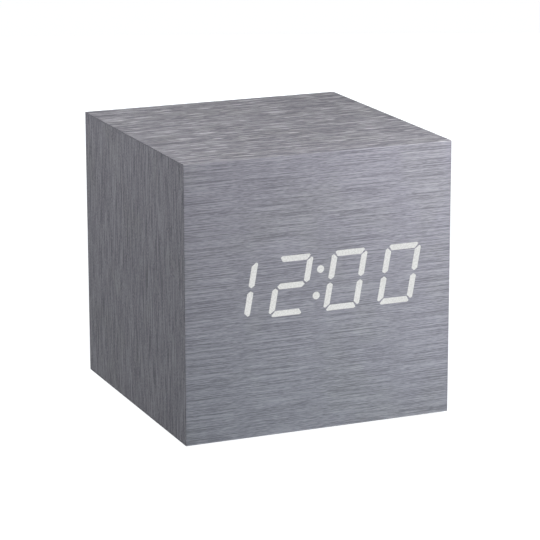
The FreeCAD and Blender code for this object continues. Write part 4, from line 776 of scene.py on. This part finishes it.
class CLOCK_OT_domes(FinishOperator):
    """Snap domes, one for each button"""

    bl_idname = "clock.domes"
    bl_label = "Snap Domes"

    def execute(self, context):
        steel = metal("dome_steel", PLATED_STEEL, 0.28)
        low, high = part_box("button_switch_domes")
        for name in ("down_button", "set_button", "up_button"):
            button_low, button_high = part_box(name)
            centre = Vector(((button_low[0] + button_high[0]) / 2, low[1], (low[2] + high[2]) / 2))
            piece_name = name.replace("button", "snap_dome")
            dome = self.snap_dome(piece_name, centre, (high[2] - low[2]) / 2, high[1] - low[1])
            dome.data.materials.append(steel)
            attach(dome, "case")
            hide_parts("button_switch_domes")
            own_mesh(dome)
        return {"FINISHED"}

    def snap_dome(self, name, centre, radius, height):
        """Thin round shell, crowned towards the back."""
        profile = []
        for ring in range(DOME_RINGS):
            share = ring / (DOME_RINGS - 1)
            rise = (height - DOME_SHEET) * math.cos(share * math.pi / 2) ** DOME_FULLNESS
            profile.append((radius * share, rise))
        outline = [(reach, rise + DOME_SHEET) for reach, rise in profile] + profile[::-1]
        turns = [2 * math.pi * step / DOME_STEPS for step in range(DOME_STEPS)]
        shape = bmesh.new()
        loops = []
        for reach, rise in outline:
            spokes = turns if reach else turns[:1]
            loops.append([
                shape.verts.new((
                    centre.x + reach * math.cos(turn), centre.y + rise, centre.z + reach * math.sin(turn)
                ))
                for turn in spokes
            ])
        for first, second in zip(loops, loops[1:]):
            for step in range(DOME_STEPS):
                after = (step + 1) % DOME_STEPS
                if len(first) == 1:
                    shape.faces.new((first[0], second[step], second[after]))
                elif len(second) == 1:
                    shape.faces.new((first[step], first[after], second[0]))
                else:
                    shape.faces.new((first[step], second[step], second[after], first[after]))
        bmesh.ops.recalc_face_normals(shape, faces=shape.faces)
        mesh = bpy.data.meshes.new(name)
        shape.to_mesh(mesh)
        shape.free()
        for face in mesh.polygons:
            face.use_smooth = True
        piece = bpy.data.objects.new(name, mesh)
        bpy.context.scene.collection.objects.link(piece)
        return piece


class CLOCK_OT_speaker(FinishOperator):
    """Speaker behind the grille"""

    bl_idname = "clock.speaker"
    bl_label = "Speaker"

    def execute(self, context):
        dress(paper_cone(), "speaker_cone")
        dress(moulded("surround_rubber", (0.02, 0.02, 0.02), 0.7, size=0.0004), "speaker_surround")
        dress(moulded("gasket_foam", (0.06, 0.06, 0.06), 0.9, size=0.0005, bump=0.00008), "speaker_gasket")
        speaker_steel = metal("speaker_steel", (0.60, 0.58, 0.52), 0.36)
        dress(speaker_steel, "speaker_frame", "speaker_yoke", "speaker_pole_plate")
        dress(moulded("magnet_ceramic", (0.05, 0.05, 0.052), 0.6), "speaker_magnet")
        dress(metal("copper_coil", (0.72, 0.35, 0.18), 0.35, (0.01, 0.00008, 0.01)), "voice_coil")
        dress(two_tone("speaker_wire", "speaker_leads", "z", BLACK_SLEEVE, RED_SLEEVE), "speaker_leads")
        return {"FINISHED"}


class CLOCK_OT_battery(FinishOperator):
    """Battery tray, door, cells, springs and contacts in the base"""

    bl_idname = "clock.battery"
    bl_label = "Battery Compartment"

    def execute(self, context):
        plastic = context.scene.clock_plastic
        dress(moulded("tray_plastic", plastic.panel_colour, 0.5), "battery_tray")
        dress(moulded("door_plastic", plastic.panel_colour, 0.55), "battery_door", "battery_door_latch")
        dress(cell_sleeve(), "aaa_cells")
        spring_steel = metal("spring_steel", (0.74, 0.73, 0.71), 0.22, dull=0.18)
        dress(spring_steel, "battery_springs", "battery_plate_contacts")
        dress(two_tone("battery_wire", "battery_leads", "y", RED_SLEEVE, BLACK_SLEEVE), "battery_leads")
        return {"FINISHED"}


class CLOCK_OT_electronics(FinishOperator):
    """Main circuit board and the parts on it"""

    bl_idname = "clock.electronics"
    bl_label = "Electronics"

    def execute(self, context):
        parts = context.scene.clock_parts
        dress(circuit_board("main_board", parts.mask_colour, 0.0009), "main_circuit_board")
        chip_resin = moulded("chip_resin", (0.025, 0.025, 0.027), 0.5, bump=0.000006)
        dress(chip_resin, "clock_chip", "voice_chip", "display_driver_chip")
        coin_steel = metal("coin_steel", (0.70, 0.70, 0.69), 0.24, (0.006, 0.006, 0.0002))
        dress(coin_steel, "backup_cell", "quartz_crystal")
        dress(moulded("holder_plastic", (0.045, 0.045, 0.047), 0.5), "backup_cell_holder")
        dress(moulded("capacitor_sleeve", (0.02, 0.03, 0.07), 0.35, bump=0.000005), "capacitors")
        dress(moulded("sensor_resin", (0.03, 0.03, 0.03), 0.3, bump=0.000005), "temperature_sensor")
        dress(ribbon_finish(), "ribbon_cable")
        return {"FINISHED"}


class CLOCK_OT_marks(FinishOperator):
    """Printed marks beside the controls at the back"""

    bl_idname = "clock.marks"
    bl_label = "Printed Marks"

    def execute(self, context):
        plastic = context.scene.clock_plastic
        ink = moulded("mark_ink", plastic.mark_colour, 0.6, size=0.0003, bump=0.000003)
        for node, words in (("down_button", "\u2013"), ("set_button", "SET"), ("up_button", "+")):
            low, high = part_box(node)
            size = plastic.mark_height * (SIGN_SCALE if len(words) == 1 else 1.0)
            x, z = (low[0] + high[0]) / 2, (low[2] + high[2]) / 2 + MARK_ABOVE_BUTTON
            printed_mark("mark_" + node, words, size, x, z, ink)
        low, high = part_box("voice_switch_knob")
        size = plastic.mark_height * SWITCH_MARK_SCALE
        middle, z = (low[0] + high[0]) / 2 + SWITCH_TRAVEL_HALF, high[2] + MARK_ABOVE_SWITCH
        for words, shift in (("ON", SWITCH_MARK_SHIFT), ("OFF", -SWITCH_MARK_SHIFT)):
            printed_mark("mark_switch_" + words.lower(), words, size, middle + shift, z, ink)
        return {"FINISHED"}


class CLOCK_OT_stage(FinishOperator):
    """Pale floor, white surroundings, soft lamps and the camera"""

    bl_idname = "clock.stage"
    bl_label = "Stage"

    def execute(self, context):
        look = context.scene.clock_stage
        scene = context.scene
        scene.view_settings.view_transform = "Standard"
        self.add_floor(look)
        self.add_world(scene, look)
        for name, place, aim, size, sheen in LAMPS:
            lamp = self.add_lamp("lamp_" + name, place, aim, size, sheen)
            lamp.energy = getattr(look, name + "_power")
            if name == "low":
                lamp.color = look.low_tint
        self.add_camera(scene, look)
        return {"FINISHED"}

    def add_floor(self, look):
        """Floor that is white where it is seen, and clear from below and to the light of the lamps."""
        mesh = bpy.data.meshes.new("floor")
        corners = [(x * FLOOR_REACH, y * FLOOR_REACH, 0.0) for x, y in ((-1, -1), (1, -1), (1, 1), (-1, 1))]
        mesh.from_pydata(corners, [], [(0, 1, 2, 3)])
        floor = bpy.data.objects.new("floor", mesh)
        bpy.context.scene.collection.objects.link(floor)
        material, tree, shader = new_material("floor_paint", Roughness=0.9, Specular_IOR_Level=0.1)
        speck = tree.noise(tree.position(), 220.0, 2.0)
        dark = shaded(look.floor_colour, 0.97)
        tree.feed(shader.inputs["Base Color"], tree.mix(speck, dark, look.floor_colour))
        seen = self.seen_directly(tree)
        glow = tree.add("ShaderNodeEmission", {"Color": (1.0, 1.0, 1.0), "Strength": FLOOR_GLOW})
        both = tree.add("ShaderNodeAddShader")
        tree.feed(both.inputs[0], shader.outputs[0])
        tree.feed(both.inputs[1], glow.outputs[0])
        choice = tree.add("ShaderNodeMixShader", {"Fac": seen})
        tree.feed(choice.inputs[1], shader.outputs[0])
        tree.feed(choice.inputs[2], both.outputs[0])
        below = tree.add("ShaderNodeNewGeometry").outputs["Backfacing"]
        shadow = tree.add("ShaderNodeLightPath").outputs["Is Shadow Ray"]
        clear = tree.add("ShaderNodeMixShader", {"Fac": tree.math("MAXIMUM", below, shadow)})
        tree.feed(clear.inputs[1], choice.outputs[0])
        tree.feed(clear.inputs[2], tree.add("ShaderNodeBsdfTransparent").outputs[0])
        end = material.node_tree.nodes["Material Output"]
        tree.feed(end.inputs["Surface"], clear.outputs[0])
        mesh.materials.append(material)

    def seen_directly(self, tree):
        """1 for rays from the camera, a reflection or clear plastic, and 0 for the light on the clock."""
        path = tree.add("ShaderNodeLightPath").outputs
        seen = tree.math("MAXIMUM", path["Is Camera Ray"], path["Is Glossy Ray"])
        return tree.math("MAXIMUM", seen, path["Is Transmission Ray"])

    def add_world(self, scene, look):
        """White surroundings that light the clock only softly."""
        world = bpy.data.worlds.new("studio")
        scene.world = world
        world.use_nodes = True
        tree = Tree(world.node_tree)
        backdrop = world.node_tree.nodes["Background"]
        tree.feed(backdrop.inputs["Color"], (1.0, 1.0, 1.0))
        seen = self.seen_directly(tree)
        tree.feed(backdrop.inputs["Strength"], tree.ramp(seen, 0.0, 1.0, look.sky_level, 1.0))

    def add_lamp(self, name, place, aim, size, sheen):
        """Soft rectangular lamp that the camera doesn't see."""
        lamp = bpy.data.lights.new(name, "AREA")
        lamp.shape = "RECTANGLE"
        lamp.size, lamp.size_y = size
        carrier = bpy.data.objects.new(name, lamp)
        bpy.context.scene.collection.objects.link(carrier)
        carrier.location = place
        carrier.rotation_euler = (Vector(aim) - Vector(place)).to_track_quat("-Z", "Y").to_euler()
        carrier.visible_camera = False
        carrier.visible_glossy = sheen
        return lamp

    def add_camera(self, scene, look):
        """Camera at the photograph's viewing angle."""
        camera = bpy.data.cameras.new("camera")
        camera.lens = look.lens
        camera.sensor_width = 36.0
        camera.clip_start = 0.02
        camera.clip_end = 20.0
        carrier = bpy.data.objects.new("camera", camera)
        scene.collection.objects.link(carrier)
        place = Vector(look.camera_place)
        facing = (Vector(look.camera_aim) - place).to_track_quat("-Z", "Y")
        carrier.location = place
        carrier.rotation_euler = (facing.to_matrix() @ Matrix.Rotation(look.camera_roll, 3, "Z")).to_euler()
        scene.camera = carrier


class CLOCK_PT_panel(Panel):
    """Lists the steps and the sizes that can be changed"""

    bl_idname = "CLOCK_PT_panel"
    bl_label = "Talking Cube Clock"
    bl_space_type = "VIEW_3D"
    bl_region_type = "UI"
    bl_category = "Clock"

    def draw(self, context):
        column = self.layout.column()
        for step in STEPS:
            column.operator(step.bl_idname)
        for name in SETTINGS:
            values = getattr(context.scene, name)
            part = self.layout.box()
            for key in values.__annotations__:
                part.prop(values, key)


STEPS = (
    CLOCK_OT_effects,
    CLOCK_OT_film,
    CLOCK_OT_display,
    CLOCK_OT_case,
    CLOCK_OT_rear,
    CLOCK_OT_domes,
    CLOCK_OT_speaker,
    CLOCK_OT_battery,
    CLOCK_OT_electronics,
    CLOCK_OT_marks,
    CLOCK_OT_stage,
)


def register():
    for settings in SETTINGS.values():
        bpy.utils.register_class(settings)
    for name, settings in SETTINGS.items():
        setattr(bpy.types.Scene, name, PointerProperty(type=settings))
    for step in STEPS:
        bpy.utils.register_class(step)
    bpy.utils.register_class(CLOCK_PT_panel)


def unregister():
    bpy.utils.unregister_class(CLOCK_PT_panel)
    for step in reversed(STEPS):
        bpy.utils.unregister_class(step)
    for name, settings in reversed(list(SETTINGS.items())):
        delattr(bpy.types.Scene, name)
        bpy.utils.unregister_class(settings)


def main():
    register()
    bpy.ops.clock.effects()
    bpy.ops.clock.film()
    bpy.ops.clock.display()
    bpy.ops.clock.case()
    bpy.ops.clock.rear()
    bpy.ops.clock.domes()
    bpy.ops.clock.speaker()
    bpy.ops.clock.battery()
    bpy.ops.clock.electronics()
    bpy.ops.clock.marks()
    bpy.ops.clock.stage()


if __name__ == "__main__":
    main()
